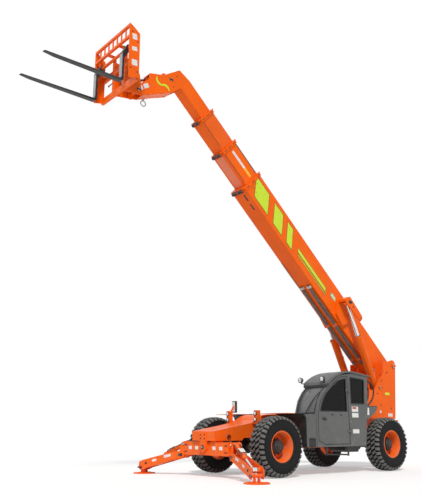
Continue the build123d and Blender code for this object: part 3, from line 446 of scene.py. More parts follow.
def surround(outline, outer, inner, low, high, place):
    """A closed band along an outline: the outline grown and shrunk, at two depths."""
    rings = []
    for amount, depth in ((-outer, low), (-outer, high), (inner, high), (inner, low)):
        line = inset(outline, amount)
        rings.append(place(line[:, 0], line[:, 1], np.full(len(line), depth)))
    return skin(rings, closed=True)


def label(centre, size, place, low, turn=0.0):
    """A blank plate: a rounded rectangle about its centre, turned, one film thick."""
    u, v = size[0] / 2, size[1] / 2
    line = rectangle((-u, u), (-v, v), min(size) * 0.12, 3)
    cos, sin = math.cos(turn), math.sin(turn)
    line = line @ np.array([[cos, sin], [-sin, cos]]) + centre
    return slab(line, low, low + sizes().film, place, 0.0006)


def disc(start, direction, radius, height, sides=24):
    """A low round boss with a broken edge."""
    profile = [(0, radius), (height * 0.7, radius), (height, radius * 0.94)]
    return lathe(profile, start, direction, sides)


def pin_end(x, y, z, radius, out):
    """The end of a cross pin: its head, a keeper plate and the keeper's two bolts."""
    side = math.copysign(1.0, x)
    near, far = x + side * out, x + side * (out + 0.008)
    keeper = rectangle((y - radius * 1.5, y + radius * 1.5), (z - 0.5 * radius, z + 0.5 * radius), 0.01)
    heads = bolts([(far, y - radius * 1.15, z), (far, y + radius * 1.15, z)], (side, 0, 0), 0.011, 0.009)
    plate = slab(keeper, *sorted((near, far)), across, 0.002)
    return [disc((x, y, z), (side, 0, 0), radius, out)], [plate], heads


def weld(points, radius=0.005):
    """A weld bead: a thin tube whose radius swells and thins along its run."""
    line = curve_through(points, 4) if len(points) > 2 else np.linspace(points[0], points[1], 12)
    swell = radius * (1 + 0.16 * np.sin(np.arange(len(line)) * 2.1))
    along = np.gradient(line, axis=0)[len(line) // 2]
    return skin(line[:, None] + swell[:, None, None] * circle(6, *frame_of(along)))


def dressed(node, finish, width=0.005):
    """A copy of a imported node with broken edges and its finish, in the node's place."""
    source = frame["nodes"][node]
    mesh = bpy.data.meshes.new(f"{node}_finished")
    work = bmesh.new()
    work.from_mesh(source.data)
    bmesh.ops.remove_doubles(work, verts=work.verts, dist=0.00002)
    bmesh.ops.dissolve_limit(work, angle_limit=math.radians(0.6), verts=work.verts, edges=work.edges)
    work.to_mesh(mesh)
    work.free()
    mesh.materials.clear()
    mesh.materials.append(material(finish))
    made = placed_object(f"{node}_finished", mesh)
    mesh.shade_smooth()
    mesh.set_sharp_from_angle(angle=math.radians(30))
    bevel = made.modifiers.new("edges", "BEVEL")
    bevel.width = width
    bevel.segments = 2
    bevel.limit_method = "ANGLE"
    bevel.angle_limit = math.radians(38)
    bevel.use_clamp_overlap = True
    bevel.harden_normals = True
    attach(made, source["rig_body"])
    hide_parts(node)
    return made


# ---------------------------------------------------------------- finishes
def material(name):
    """The finish of that name, made the first time it is asked for."""
    label = f"{name}_finish"
    return bpy.data.materials.get(label) or FINISHES[name](label)


def add_node(tree, kind, links=None, values=None, **settings):
    """A new shader node, linked and set by its sockets' names or numbers; gives its outputs."""
    node = tree.nodes.new(f"ShaderNode{kind}")
    for name, value in settings.items():
        setattr(node, name, value)
    for socket, value in (values or {}).items():
        node.inputs[socket].default_value = value
    for socket, source in (links or {}).items():
        tree.links.new(source, node.inputs[socket])
    return node.outputs


class Nodes:
    """A short way to write a node tree round one Principled shader."""

    def __init__(self, name):
        self.material = bpy.data.materials.new(name)
        self.material.use_nodes = True
        self.tree = self.material.node_tree
        self.shader = self.tree.nodes["Principled BSDF"]
        self.place = add_node(self.tree, "TexCoord")["Object"]

    def feed(self, socket, source):
        """Links a value to one of the shader's own sockets."""
        self.tree.links.new(source, self.shader.inputs[socket])

    def noise(self, scale, detail=3.0, roughness=0.55):
        """A noise over the object's own coordinates, from 0 to 1."""
        values = {"Scale": scale, "Detail": detail, "Roughness": roughness}
        return add_node(self.tree, "TexNoise", {"Vector": self.place}, values)["Fac"]

    def spread(self, source, low, high, from_low=0.3, from_high=0.7):
        """A value carried from one range to another."""
        values = {"From Min": from_low, "From Max": from_high, "To Min": low, "To Max": high}
        return add_node(self.tree, "MapRange", {"Value": source}, values)["Result"]

    def times(self, one, two):
        """The product of two values."""
        return add_node(self.tree, "Math", {0: one, 1: two}, operation="MULTIPLY")[0]

    def mix(self, factor, one, two):
        """Two colours mixed by a factor; each is a socket or a colour."""
        links, values = {"Factor": factor}, {}
        for socket, value in ((6, one), (7, two)):
            if isinstance(value, bpy.types.NodeSocket):
                links[socket] = value
            else:
                values[socket] = (*value, 1.0)
        return add_node(self.tree, "Mix", links, values, data_type="RGBA")[2]

    def tone(self):
        """The tone that a piece gives to its points, or 0 if it gives none."""
        return add_node(self.tree, "Attribute", attribute_name="tone")["Fac"]

    def bump(self, source, strength, distance):
        """Fine relief from a value."""
        values = {"Strength": strength, "Distance": distance}
        self.feed("Normal", add_node(self.tree, "Bump", {"Height": source}, values)["Normal"])

    def set(self, **values):
        """Constants on the shader's own sockets."""
        for name, value in values.items():
            self.shader.inputs[name.replace("_", " ")].default_value = value
        return self.material


def scaled(tint, amount):
    """A colour made lighter or darker."""
    return tuple(min(1.0, channel * amount) for channel in tint)


def paint(name, tint, dust=0.3, gloss=0.34, coat=0.06):
    """Sprayed paint: slow variation, fine orange peel, road dust low down, dull patches."""
    nodes = Nodes(name)
    slow = nodes.spread(nodes.noise(1.3, 4.0), 0.0, 1.0)
    height = add_node(nodes.tree, "SeparateXYZ", {0: nodes.place})["Z"]
    dirt = nodes.spread(height, dust, 0.0, 0.1, 1.7)
    dirt = nodes.times(dirt, nodes.spread(nodes.noise(7.0, 6.0, 0.7), 0.0, 1.0, 0.42, 0.75))
    clean = nodes.mix(slow, scaled(tint, 0.90), scaled(tint, 1.06))
    nodes.feed("Base Color", nodes.mix(dirt, clean, (0.34, 0.29, 0.24)))
    nodes.feed("Roughness", nodes.spread(nodes.noise(11.0, 5.0), gloss - 0.06, gloss + 0.12))
    nodes.bump(nodes.noise(160.0, 2.0), 0.05, 0.0008)
    return nodes.set(Coat_Weight=coat, Coat_Roughness=0.12, Specular_IOR_Level=0.14)


def black_paint(name):
    """Satin black paint, rubbed brighter in places."""
    nodes = Nodes(name)
    worn = nodes.spread(nodes.noise(9.0, 7.0, 0.7), 0.0, 1.0, 0.50, 0.80)
    nodes.feed("Base Color", nodes.mix(worn, colours().black, (0.050, 0.049, 0.047)))
    nodes.feed("Roughness", nodes.spread(nodes.noise(20.0, 4.0), 0.30, 0.52))
    nodes.bump(nodes.noise(120.0, 3.0), 0.08, 0.001)
    return nodes.set(Specular_IOR_Level=0.5)


def rubber(name):
    """Tyre rubber: near black in the grooves and low on the blocks' sides, which is painted shade, and
    greyer and dusty on the faces of the blocks.
    """
    nodes = Nodes(name)
    # The share of the face colour: 0 gives the grooves' painted shade, 1 the dusty grey of the block
    # faces.
    dust = nodes.times(nodes.tone(), nodes.spread(nodes.noise(14.0, 5.0), 0.60, 1.0))
    nodes.feed("Base Color", nodes.mix(dust, colours().rubber, colours().tread))
    nodes.feed("Roughness", nodes.spread(nodes.noise(30.0, 4.0), 0.55, 0.80))
    nodes.bump(nodes.noise(90.0, 4.0), 0.20, 0.002)
    return nodes.set(Specular_IOR_Level=0.16)


def dark_rubber(name):
    """Hose rubber and seals; the tone of a hose guard's coils lightens it."""
    nodes = Nodes(name)
    soft = nodes.spread(nodes.noise(24.0, 4.0), 0.0, 1.0)
    base = nodes.mix(soft, (0.010, 0.010, 0.010), (0.024, 0.023, 0.022))
    nodes.feed("Base Color", nodes.mix(nodes.tone(), base, (0.42, 0.36, 0.33)))
    nodes.feed("Roughness", nodes.spread(nodes.noise(60.0, 3.0), 0.42, 0.62))
    nodes.bump(nodes.noise(220.0, 2.0), 0.15, 0.0008)
    return nodes.set(Specular_IOR_Level=0.45)


def seat_cloth(name):
    """Woven seat cloth: two crossed rows of threads with a soft sheen."""
    nodes = Nodes(name)
    threads = nodes.times(*[
        add_node(nodes.tree, "TexWave", {"Vector": nodes.place}, {"Scale": 95.0, "Distortion": 1.2},
                 bands_direction=direction)["Fac"] for direction in ("X", "Z")])
    base = colours().cloth
    nodes.feed("Base Color", nodes.mix(threads, scaled(base, 0.55), scaled(base, 1.7)))
    nodes.feed("Roughness", nodes.spread(threads, 0.95, 0.75, 0.0, 1.0))
    nodes.bump(threads, 0.5, 0.001)
    return nodes.set(Sheen_Weight=0.35, Sheen_Roughness=0.4)


def two_tones(name, grain, dark, light, gloss, relief=None, **values):
    """A finish of two tones mixed by a noise, with a second noise as gloss and a third as relief.

    grain, and gloss and relief in their first two numbers, are a noise's scale and detail. The
    other two are the lowest and highest roughness, and the relief's strength and depth."""
    nodes = Nodes(name)
    nodes.feed("Base Color", nodes.mix(nodes.spread(nodes.noise(*grain), 0.0, 1.0), dark, light))
    nodes.feed("Roughness", nodes.spread(nodes.noise(*gloss[:2]), *gloss[2:]))
    if relief:
        nodes.bump(nodes.noise(*relief[:2]), *relief[2:])
    return nodes.set(**values)


def metal(name, tint, low, high, metallic=1.0):
    """Bare metal with patchy brightness, its roughness between low and high."""
    return two_tones(name, (18.0, 5.0), scaled(tint, 0.82), scaled(tint, 1.08), (18.0, 5.0, low, high),
                     (200.0, 2.0, 0.04, 0.0006), Metallic=metallic)


def film(name, tint):
    """Printed film or painted plate with nothing on it."""
    dark, gloss = scaled(tint, 0.93), (30.0, 3.0, 0.28, 0.42)
    return two_tones(name, (6.0, 4.0), dark, tint, gloss, Coat_Weight=0.2)


def glass(name, tint, alpha, roughness, gloss):
    """Toughened glass: a tinted see-through sheet with a clear gloss and faint dust."""
    made = two_tones(name, (2.2, 5.0), scaled(tint, 0.8), scaled(tint, 1.25),
                     (5.0, 5.0, roughness, roughness + 0.05), Alpha=alpha, IOR=1.5,
                     Specular_IOR_Level=gloss)
    made.use_transparent_shadow = True
    return made


FINISHES = {
    "orange_paint": lambda name: paint(name, colours().orange),
    "orange_rim": lambda name: paint(name, colours().orange, 0.75, 0.40),
    "grey_paint": lambda name: paint(name, colours().grey, 0.40, 0.40, 0.03),
    "black_paint": black_paint, "rubber": rubber, "hose": dark_rubber, "seat_cloth": seat_cloth,
    "plastic": lambda name: two_tones(
        name, (5.0, 4.0), colours().plastic, scaled(colours().plastic, 1.7), (40.0, 3.0, 0.42, 0.58),
        (420.0, 2.0, 0.25, 0.0006)),
    "cast": lambda name: two_tones(
        name, (8.0, 6.0, 0.65), (0.012, 0.012, 0.013), (0.045, 0.041, 0.036), (25.0, 4.0, 0.45, 0.70),
        (70.0, 4.0, 0.30, 0.002)),
    "pads": lambda name: two_tones(
        name, (12.0, 4.0), (0.58, 0.55, 0.48), (0.74, 0.72, 0.66), (40.0, 3.0, 0.38, 0.55)),
    "lamp_glass": lambda name: two_tones(
        name, (90.0, 3.0), (0.55, 0.56, 0.57), (0.82, 0.83, 0.84), (60.0, 3.0, 0.08, 0.2),
        Metallic=0.35),
    "steel": lambda name: metal(name, colours().steel, 0.28, 0.46),
    "chrome": lambda name: metal(name, (0.80, 0.80, 0.81), 0.10, 0.20),
    "worn_steel": lambda name: metal(name, (0.34, 0.34, 0.345), 0.42, 0.62, 0.6),
    "plate_white": lambda name: film(name, colours().white),
    "plate_lime": lambda name: film(name, colours().lime),
    "plate_pale": lambda name: film(name, (0.55, 0.80, 0.45)),
    "plate_yellow": lambda name: film(name, (0.95, 0.55, 0.03)),
    "lamp_red": lambda name: film(name, (0.45, 0.012, 0.010)),
    "tinted_glass": lambda name: glass(name, (0.0040, 0.0044, 0.0046), 0.86, 0.03, 0.14),
    "screen_glass": lambda name: glass(name, (0.16, 0.165, 0.17), 0.80, 0.06, 0.35),
}


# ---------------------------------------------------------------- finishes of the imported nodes
NODE_FINISHES = {
    "axle_": "cast", "knuckle_": "cast", "engine_block": "cast", "tower_pins": "steel",
    "cab_": "grey_paint", "engine_hood": "grey_paint", "door": "grey_paint", "_glass": "tinted_glass",
    "seat": "seat_cloth", "seat_base": "plastic", "steering_column": "plastic",
    "front_fenders": "plastic", "fork_": "black_paint", "_rod": "chrome", "_pads": "pads",
}


def finish_nodes():
    """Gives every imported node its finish, by the longest of these words that its name holds."""
    for name, node in frame["nodes"].items():
        found = [word for word in NODE_FINISHES if word in name]
        finish = NODE_FINISHES[max(found, key=len)] if found else "orange_paint"
        node.data.materials.clear()
        node.data.materials.append(material(finish))


# ---------------------------------------------------------------- wheels
AXLE = ((0, 0, 0), (1, 0, 0))   # a wheel's own line: its start and direction
TYRE_SIDES = 68
CARCASS = [(0.178, 0.322), (0.192, 0.345), (0.208, 0.385), (0.2185, 0.430), (0.2215, 0.480),
           (0.2185, 0.530), (0.2105, 0.575), (0.198, 0.610), (0.176, 0.630), (0.140, 0.638),
           (0.090, 0.642), (0.040, 0.6435), (0.0, 0.644)]


def carcass_line():
    """One half of the tyre's section with its arc length and normals, crown last."""
    line = curve_through(CARCASS, 5)
    step = np.linalg.norm(np.diff(line, axis=0), axis=1)
    along = np.concatenate([[0.0], np.cumsum(step)])
    run = np.gradient(line, along, axis=0)
    normal = np.stack([-run[:, 1], run[:, 0]], 1) * -1.0
    normal[normal[:, 1] < -0.2] *= -1.0
    return line, along, normal / np.linalg.norm(normal, axis=1)[:, None]


def tyre_block(line, along, normal, start, end, half, slant, height):
    """One tread block: a low trapezoid carried along the section, leaning round the wheel.

    A point is P(s) + h N(s) turned by (a + slant (s - start)) / R, with h from 0 to height."""
    share = np.array([0.0, 0.05, 0.25, 0.5, 0.75, 0.95, 1.0])
    s = start + (end - start) * share
    lift = height * np.array([0.75, 1.0, 1.0, 1.0, 1.0, 1.0, 0.75])
    width = half * np.array([0.86, 0.97, 1.0, 1.0, 1.0, 0.97, 0.86])
    section = np.array([(-1.12, -0.25), (-1.0, 0.72), (-0.86, 1.0), (0.86, 1.0), (1.0, 0.72),
                        (1.12, -0.25)])
    x, r = np.interp(s, along, line[:, 0]), np.interp(s, along, line[:, 1])
    nx, nr = np.interp(s, along, normal[:, 0]), np.interp(s, along, normal[:, 1])
    h = section[None, :, 1] * lift[:, None]
    a = section[None, :, 0] * width[:, None] + slant * (s - start)[:, None]
    radius = r[:, None] + h * nr[:, None]
    angle = a / 0.66
    rings = np.stack([x[:, None] + h * nx[:, None], radius * np.cos(angle), radius * np.sin(angle)], -1)
    # Tone runs from 0 at the block's foot to 1 on its face: the dark foot is painted shade, the grey
    # face is dust.
    tone = np.clip(section[None, :, 1] + 0 * h, 0, 1)
    return skin(rings), tone.ravel()


def tyre_parts():
    """A tyre centred on the origin and turning about X, with the tone of each point: low tone paints
    shade into the grooves, high tone marks the dusty block faces.
    """
    line, along, normal = carcass_line()
    inner = np.array([(0.150, 0.322), (0.178, 0.420), (0.180, 0.540), (0.150, 0.600), (0.0, 0.612)])
    other_side = [-1.0, 1.0]
    section = np.vstack([line, (line * other_side)[::-1][1:], inner * other_side, inner[::-1][1:]])
    carcass = collar(*AXLE, section, TYRE_SIDES)
    pitches, depth, crown = sizes().tread_pitches, sizes().tread_depth, along[-1]
    rows = [  # start and end as lengths from the crown, half width, slant, height, phase
        (0.232, 0.128, 0.037, -0.10, depth * 0.92, 0.0),
        (0.118, 0.012, 0.034, 0.62, depth, 0.42),
    ]
    # The carcass has tone 0 throughout, groove floors and sidewalls alike, and that holds the grooves'
    # painted shade.
    parts, tones = [carcass], [np.zeros(len(carcass[0]))]
    for side in SIDES:
        for start, end, half, slant, height, phase in rows:
            start, end = crown - start, crown - end
            block, tone = tyre_block(line, along, normal, start, end, half, slant, height)
            turns = 2 * math.pi / pitches * (np.arange(pitches) + phase + (0.5 if side < 0 else 0.0))
            parts.append(turned_copies((block[0] * [side, 1.0, side], block[1]), (0, 0), turns))
            tones.append(np.tile(tone, pitches))
    ribs = [([(0.2200, r - 0.004), (0.2235, r), (0.2200, r + 0.004), (0.2150, r)], 0.12)
            for r in (0.452, 0.505)]
    bead = ([(0.1925, 0.346), (0.198, 0.350), (0.2045, 0.372), (0.1985, 0.372)], 0.08)
    for profile, tone in (*ribs, bead):
        for side in SIDES:
            parts.append(collar(*AXLE, np.array(profile) * [side, 1.0], TYRE_SIDES))
            tones.append(np.full(TYRE_SIDES * len(profile), tone))
    return parts, np.concatenate(tones)


def rim_parts():
    """A dished wheel turning about X at the origin: the orange rim and the black hub."""
    def ring(count, x, radius, phase=0.0):
        """Places for bolts round the wheel."""
        angle = np.arange(count) * 2 * math.pi / count + phase
        return np.stack([np.full(count, x), radius * np.cos(angle), radius * np.sin(angle)], -1)

    lip = [(0.194, 0.322), (0.198, 0.330), (0.198, 0.343), (0.193, 0.352), (0.180, 0.352),
           (0.179, 0.324), (-0.179, 0.324), (-0.180, 0.352), (-0.193, 0.352), (-0.198, 0.343),
           (-0.194, 0.316), (-0.130, 0.300), (-0.096, 0.294), (-0.100, 0.190), (-0.100, 0.100),
           (-0.074, 0.100), (-0.056, 0.168), (-0.058, 0.214), (-0.070, 0.236), (-0.074, 0.262),
           (-0.058, 0.281), (0.040, 0.290), (0.120, 0.294), (0.150, 0.306), (0.168, 0.318)]
    hub = [lathe([(-0.10, 0.166), (0.049, 0.166), (0.059, 0.160), (0.067, 0.142), (0.099, 0.132),
                  (0.107, 0.120), (0.113, 0.090), (0.129, 0.084), (0.135, 0.070), (0.135, 0.020)],
                 *AXLE, 40)]
    hub += bolts(ring(10, 0.063, 0.150, 0.3), AXLE[1], 0.010, 0.014)
    hub += bolts(ring(6, 0.112, 0.104), AXLE[1], 0.011, 0.012)
    rib = slab([(0.051, 0.086), (0.091, 0.086), (0.091, 0.122), (0.057, 0.150), (0.051, 0.150)],
               -0.006, 0.006, flat, 0.002)
    hub.append(turned_copies(rib, (0, 0), np.arange(10) * 2 * math.pi / 10))
    nuts = bolts(ring(12, -0.058, 0.190), AXLE[1], 0.0155, 0.026)
    return {"orange_rim": [collar(*AXLE, lip, 72)], "cast": hub + nuts}


def make_wheels():
    """Four tyres and four wheels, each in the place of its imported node."""
    tyre, tone = tyre_parts()
    wheel = rim_parts()
    for end, y in (("front", 0.0), ("rear", WHEELBASE)):
        for side, sign in (("left", 1.0), ("right", -1.0)):
            def placed(parts):
                """The parts turned to their side and moved to their axle."""
                return [(points * [sign, 1.0, sign] + [sign * TRACK, y, AXLE_Z], faces)
                        for points, faces in parts]
            corner = f"{end}_{side}"
            body = f"wheel_{corner}"
            tread = {"rubber": placed(tyre)}
            piece(f"tyre_tread_{corner}", body, tread, (f"tyre_{corner}",), 40.0, tone)
            metals = {finish: placed(parts) for finish, parts in wheel.items()}
            piece(f"wheel_disc_{corner}", body, metals, (f"rim_{corner}",))


# ---------------------------------------------------------------- boom
#                half   top    low     front of each section, from the boom's pivot
BOOM = {"main": (0.260, 0.260, -0.480, 6.95), "second": (0.223, 0.235, -0.345, 8.05),
        "third": (0.188, 0.212, -0.295, 9.05), "tip": (0.153, 0.189, -0.211, 10.0)}
COLLAR = 0.022
LIFT_PIN, TOWER_OUT = (2.45, 0.030), 0.600   # the pin's s and t; the outer face of the tower's plates


def boom_points(rows):
    """The frame points of rows of (s, t, x)."""
    rows = np.asarray(rows, float)
    return on_boom(rows[:, 0], rows[:, 1], rows[:, 2])


def collar_parts(name):
    """The fittings of a section's mouth: wear-pad plates, bolts, hose sheaves and the lug on top."""
    half, top, low, front = BOOM[name]
    orange, dark, black = [], [], []
    out, roof, floor = half + COLLAR, top + COLLAR, low - COLLAR
    middle, mouth = (top + low) / 2, front - 0.05
    for t in (top - 0.075, middle, low + 0.085):
        orange += both([label((0, 0), (0.075, 0.11), lambda u, v, w: on_boom(mouth + u, t + v, w), out)])
        for side in SIDES:
            places = boom_points([(mouth, t + d, side * (out + 0.0025)) for d in (-0.034, 0.034)])
            dark += bolts(places, (side, 0, 0), 0.0125, 0.011)
    for s in (front - 0.20, front - 0.34) if name == "main" else ():
        for t in (middle + 0.10, middle - 0.10):
            for side in SIDES:
                dark += bolts(boom_points([(s, t, side * half)]), (side, 0, 0), 0.011, 0.009)
    for x in (-half * 0.55, half * 0.55):
        s, t = (front - 0.085, front - 0.015), (roof, roof + 0.010)
        orange.append(boom_box(s, t, (x - 0.05, x + 0.05)))
        places = boom_points([(mouth, roof + 0.010, x + d) for d in (-0.03, 0.03)])
        dark += bolts(places, UPWARD, 0.0125, 0.011)
    hook = sampled([(0.0, 0.0), (0.030, 0.045), ((0.052, 0.070), (0.078, 0.052)), (0.070, 0.040),
                    ((0.052, 0.050), (0.046, 0.030)), (0.050, 0.0)], 5)
    orange.append(slab(hook + [front - 0.075, roof], half - 0.035, half - 0.020, on_boom, 0.002))
    t, reach = floor - 0.056, half - 0.050
    below = ((mouth, t - 0.036), (front - 0.020, t - 0.010))
    hanger = sampled([(front - 0.095, floor + 0.004), (front - 0.080, t - 0.010), below,
                      (front - 0.005, floor + 0.004)], 6)
    for ends in ((-0.014, 0.014), (reach - 0.010, reach + 0.002), (-reach - 0.002, 0.010 - reach)):
        orange.append(slab(hanger, *ends, on_boom, 0.002))
    groove = [(0.0, 0.046), (0.004, 0.0495), (0.012, 0.0445), (0.026, 0.0445), (0.034, 0.0495)]
    start, stop = 0.022, reach - 0.018
    count = int((stop - start) / 0.036)
    pitch = (stop - start) / count
    groove = [(d * pitch / 0.038, r) for d, r in groove] + [(pitch, 0.046)]
    for side in SIDES:
        for number in range(count):
            place = on_boom(mouth, t, side * (start + number * pitch))
            black.append(lathe(groove, place, (side, 0, 0), 20))
        dark.append(disc(on_boom(mouth, t, side * reach), (side, 0, 0), 0.024, 0.010, 16))
        dark += bolts([on_boom(mouth, t, side * (reach + 0.010))], (side, 0, 0), 0.011, 0.008)
    return orange, dark, black


def seams(name, s_low, s_high):
    """Weld beads down the four corners of a section's box."""
    half, top, low, _ = BOOM[name]
    return [weld(boom_points([(s_low, t, x), (s_high, t, x)]), 0.0025)
            for x in (half, -half) for t in (top - 0.014, low + 0.014)]


def spiral_hoses():
    """The belly hoses: each ring of the tube swells and shrinks in turn, as a coiled guard does."""
    low = BOOM["main"][2]
    parts, tones = [], []
    s = np.arange(0.62, 3.614, 0.011)
    thick = np.arange(len(s)) % 4 < 2
    radius = np.where(thick, 0.0175, 0.0145)
    ring = circle(8, *frame_of(ALONG))
    for x in (-0.170, -0.130, -0.090, 0.090, 0.130, 0.170):
        sag = 0.004 * np.sin(s * 5.0 + x * 40)
        line = boom_points(np.stack([s, low - 0.034 + sag * 0.6, x + sag], 1))
        parts.append(skin(line[:, None] + radius[:, None, None] * ring))
        tones.append(np.repeat(np.where(thick, 0.10, 0.85), 8))
    return parts, np.concatenate(tones)


def clamp_block(s, x, t):
    """A two-part clamp over three hoses: a block, its cover and plate, and two bolts."""
    parts = [boom_box((s - 0.035, s + 0.035), (t - 0.034, t - 0.0005), (x - 0.070, x + 0.070), 0.003),
             boom_box((s - 0.032, s + 0.032), (t - 0.058, t - 0.036), (x - 0.068, x + 0.068), 0.004),
             boom_box((s - 0.026, s + 0.026), (t - 0.060, t - 0.0575), (x - 0.060, x + 0.060), 0.001)]
    places = boom_points([(s, t - 0.060, x - 0.020), (s, t - 0.060, x + 0.020)])
    return parts, bolts(places, -UPWARD, 0.009, 0.007)


def make_boom_main():
    """The main section: hoses in their clamps, collar, stripes, lift brackets and seams."""
    half, _, low, front = BOOM["main"]
    dressed("boom_main", "orange_paint", 0.006)
    hoses, tone = spiral_hoses()
    piece("belly_hoses", "boom_main", {"hose": hoses}, (), 40.0, tone)
    nylon, orange, steel = [], [], []
    for s, blocks in ((0.82, orange), (2.154, orange), (3.554, nylon)):
        for x in (-0.130, 0.130):
            parts, heads = clamp_block(s, x, low)
            blocks += parts
            steel += heads
    piece("belly_clamps", "boom_main", {"pads": nylon, "orange_paint": orange, "steel": steel})

    orange, dark, black = collar_parts("main")
    foot = [(1.90, -0.10), (2.05, -0.47), (2.45, -0.40), (2.70, -0.06), (2.62, 0.13), (2.05, 0.13),
            (1.90, -0.10)]
    for side in SIDES:
        head, keeper, heads = pin_end(*on_boom(*LIFT_PIN, side * TOWER_OUT), 0.050, 0.006)
        dark += head + keeper + heads
        for start, end in zip(foot, foot[1:]):
            orange.append(weld(boom_points([(*start, side * half), (*end, side * half)]), 0.006))
        for s in (1.85, 2.28):
            dark += bolts(boom_points([(s, 0.02, side * TOWER_OUT)]), (side, 0, 0), 0.015, 0.012)
    orange += seams("main", 0.7, front - 0.11)
    piece("boom_main_fittings", "boom_main",
          {"orange_paint": orange, "black_paint": dark, "plastic": black})

    # The belly's slots are thin black plates in their outlines: their black paints the shade of the
    # boom's hollow inside.
    slot_shades = [rectangle((s - 0.105, s + 0.105), (0.055, 0.105), 0.024, 4) for s in (6.66, 6.36)]
    slot_shades = [slab(line, low - 0.0030, low, under_boom, 0.0006) for line in slot_shades]
    rail = boom_points([(s, low - 0.016, x) for s, x in ((3.62, -0.228), (3.9, -0.236), (4.5, -0.236))])
    piece("belly_slots", "boom_main", {"black_paint": slot_shades, "steel": [hose(rail, 0.011, 10, 4)]})

    marks = [([(s, -0.36), (s + run, -0.36), (s + run + 0.34, 0.13), (s + 0.34, 0.13)], 0.014)
             for s, run in ((5.95, 0.62), (5.25, 0.42), (4.75, 0.26))]
    wide = [(3.10, -0.215), (4.55, -0.215), (4.62, -0.120), (3.17, -0.120)]
    thin = [(3.05, -0.285), (4.50, -0.285), (4.515, -0.262), (3.065, -0.262)]
    marks += [(rounded(wide, 0.02, 3), 0.012), (rounded(thin, 0.006, 2), 0.012)]
    lime = [slab(line, half, half + 0.0030, on_boom, 0.0006) for line, _ in marks]
    rims = [slab(inset(line, -rim), half, half + 0.0020, on_boom, 0.0005) for line, rim in marks]
    plate = rectangle((2.30, 2.92), (-0.130, -0.020), 0.05, 5)
    rims.append(slab(inset(plate, -0.010), half, half + 0.0025, on_boom, 0.0006))
    pale = [slab(plate, half, half + 0.0035, on_boom, 0.0008)]
    piece("boom_main_stripes", "boom_main",
          {"plate_lime": both(lime), "black_paint": both(rims), "plate_pale": both(pale)})


def length_scale(half, low):
    """The second section's blank length scale with its dots, and the ribbons on its belly."""
    face = half + 0.0003
    white, yellow = [slab(rectangle(s, (-0.075, 0.005), 0.006, 2), half, face, on_boom)
                     for s in ((7.30, 7.86), (7.02, 7.298))]
    dots = [disc(on_boom(s, -0.035, face), (1, 0, 0), 0.009, 0.00012, 12)
            for s in np.arange(7.08, 7.85, 0.11)]
    piece("length_scale", "boom_second",
          {"plate_white": both([white]), "plate_yellow": both([yellow]), "black_paint": both(dots)})
    s = np.linspace(6.97, 7.92, 34)
    ribbons = []
    for x in (-0.135, -0.065, 0.005, 0.075):
        u = x + 0.017 * np.where(np.arange(34) % 2 == 0, 1.0, -1.0)
        line = np.vstack([np.stack([s, u - 0.006], 1), np.stack([s, u + 0.006], 1)[::-1]])
        ribbons.append(slab(line, low - 0.0004, low, under_boom, 0.0001))
    piece("belly_ribbons", "boom_second", {"plate_white": ribbons})


def make_boom_inner():
    """The second and third sections: collars, the length scale, edge strips and hose ribbons."""
    for name, run in (("second", 1.0), ("third", 0.88)):
        half, top, low, front = BOOM[name]
        dressed(f"boom_{name}", "orange_paint", 0.005)
        orange, dark, black = collar_parts(name)
        start, stop = front - run, front - 0.105
        strip = [(start, low + 0.004), (stop, low + 0.004), (stop, low + 0.020), (start, low + 0.020)]
        black += both([slab(strip, half, half + 0.003, on_boom, 0.0008)])
        if name == "second":
            t, x = (top - 0.034, top - 0.006), (half, half + 0.005)
            black += both([boom_box((6.97, 7.93), t, x, 0.0015)])
            length_scale(half, low)
        groups = {"orange_paint": orange + seams(name, start, front - 0.11), "black_paint": dark,
                  "plastic": black}
        piece(f"boom_{name}_fittings", f"boom_{name}", groups)


# ---------------------------------------------------------------- head, carriage and forks
def at_head(u, v, w):
    """Outline in (y, z) from the head's pivot, depth along x."""
    return across(HEAD_Y + np.asarray(u), HEAD_Z + np.asarray(v), w)


def head_point(x, y, z):
    """The frame point at x and at y, z from the head's pivot."""
    return np.array([x, HEAD_Y + y, HEAD_Z + z])


def head_box(x, y, z, edge=None, corner=0.006):
    """A block on the head or carriage, its y and z from the head's pivot."""
    return box(x, (HEAD_Y + y[0], HEAD_Y + y[1]), (HEAD_Z + z[0], HEAD_Z + z[1]), edge, corner)


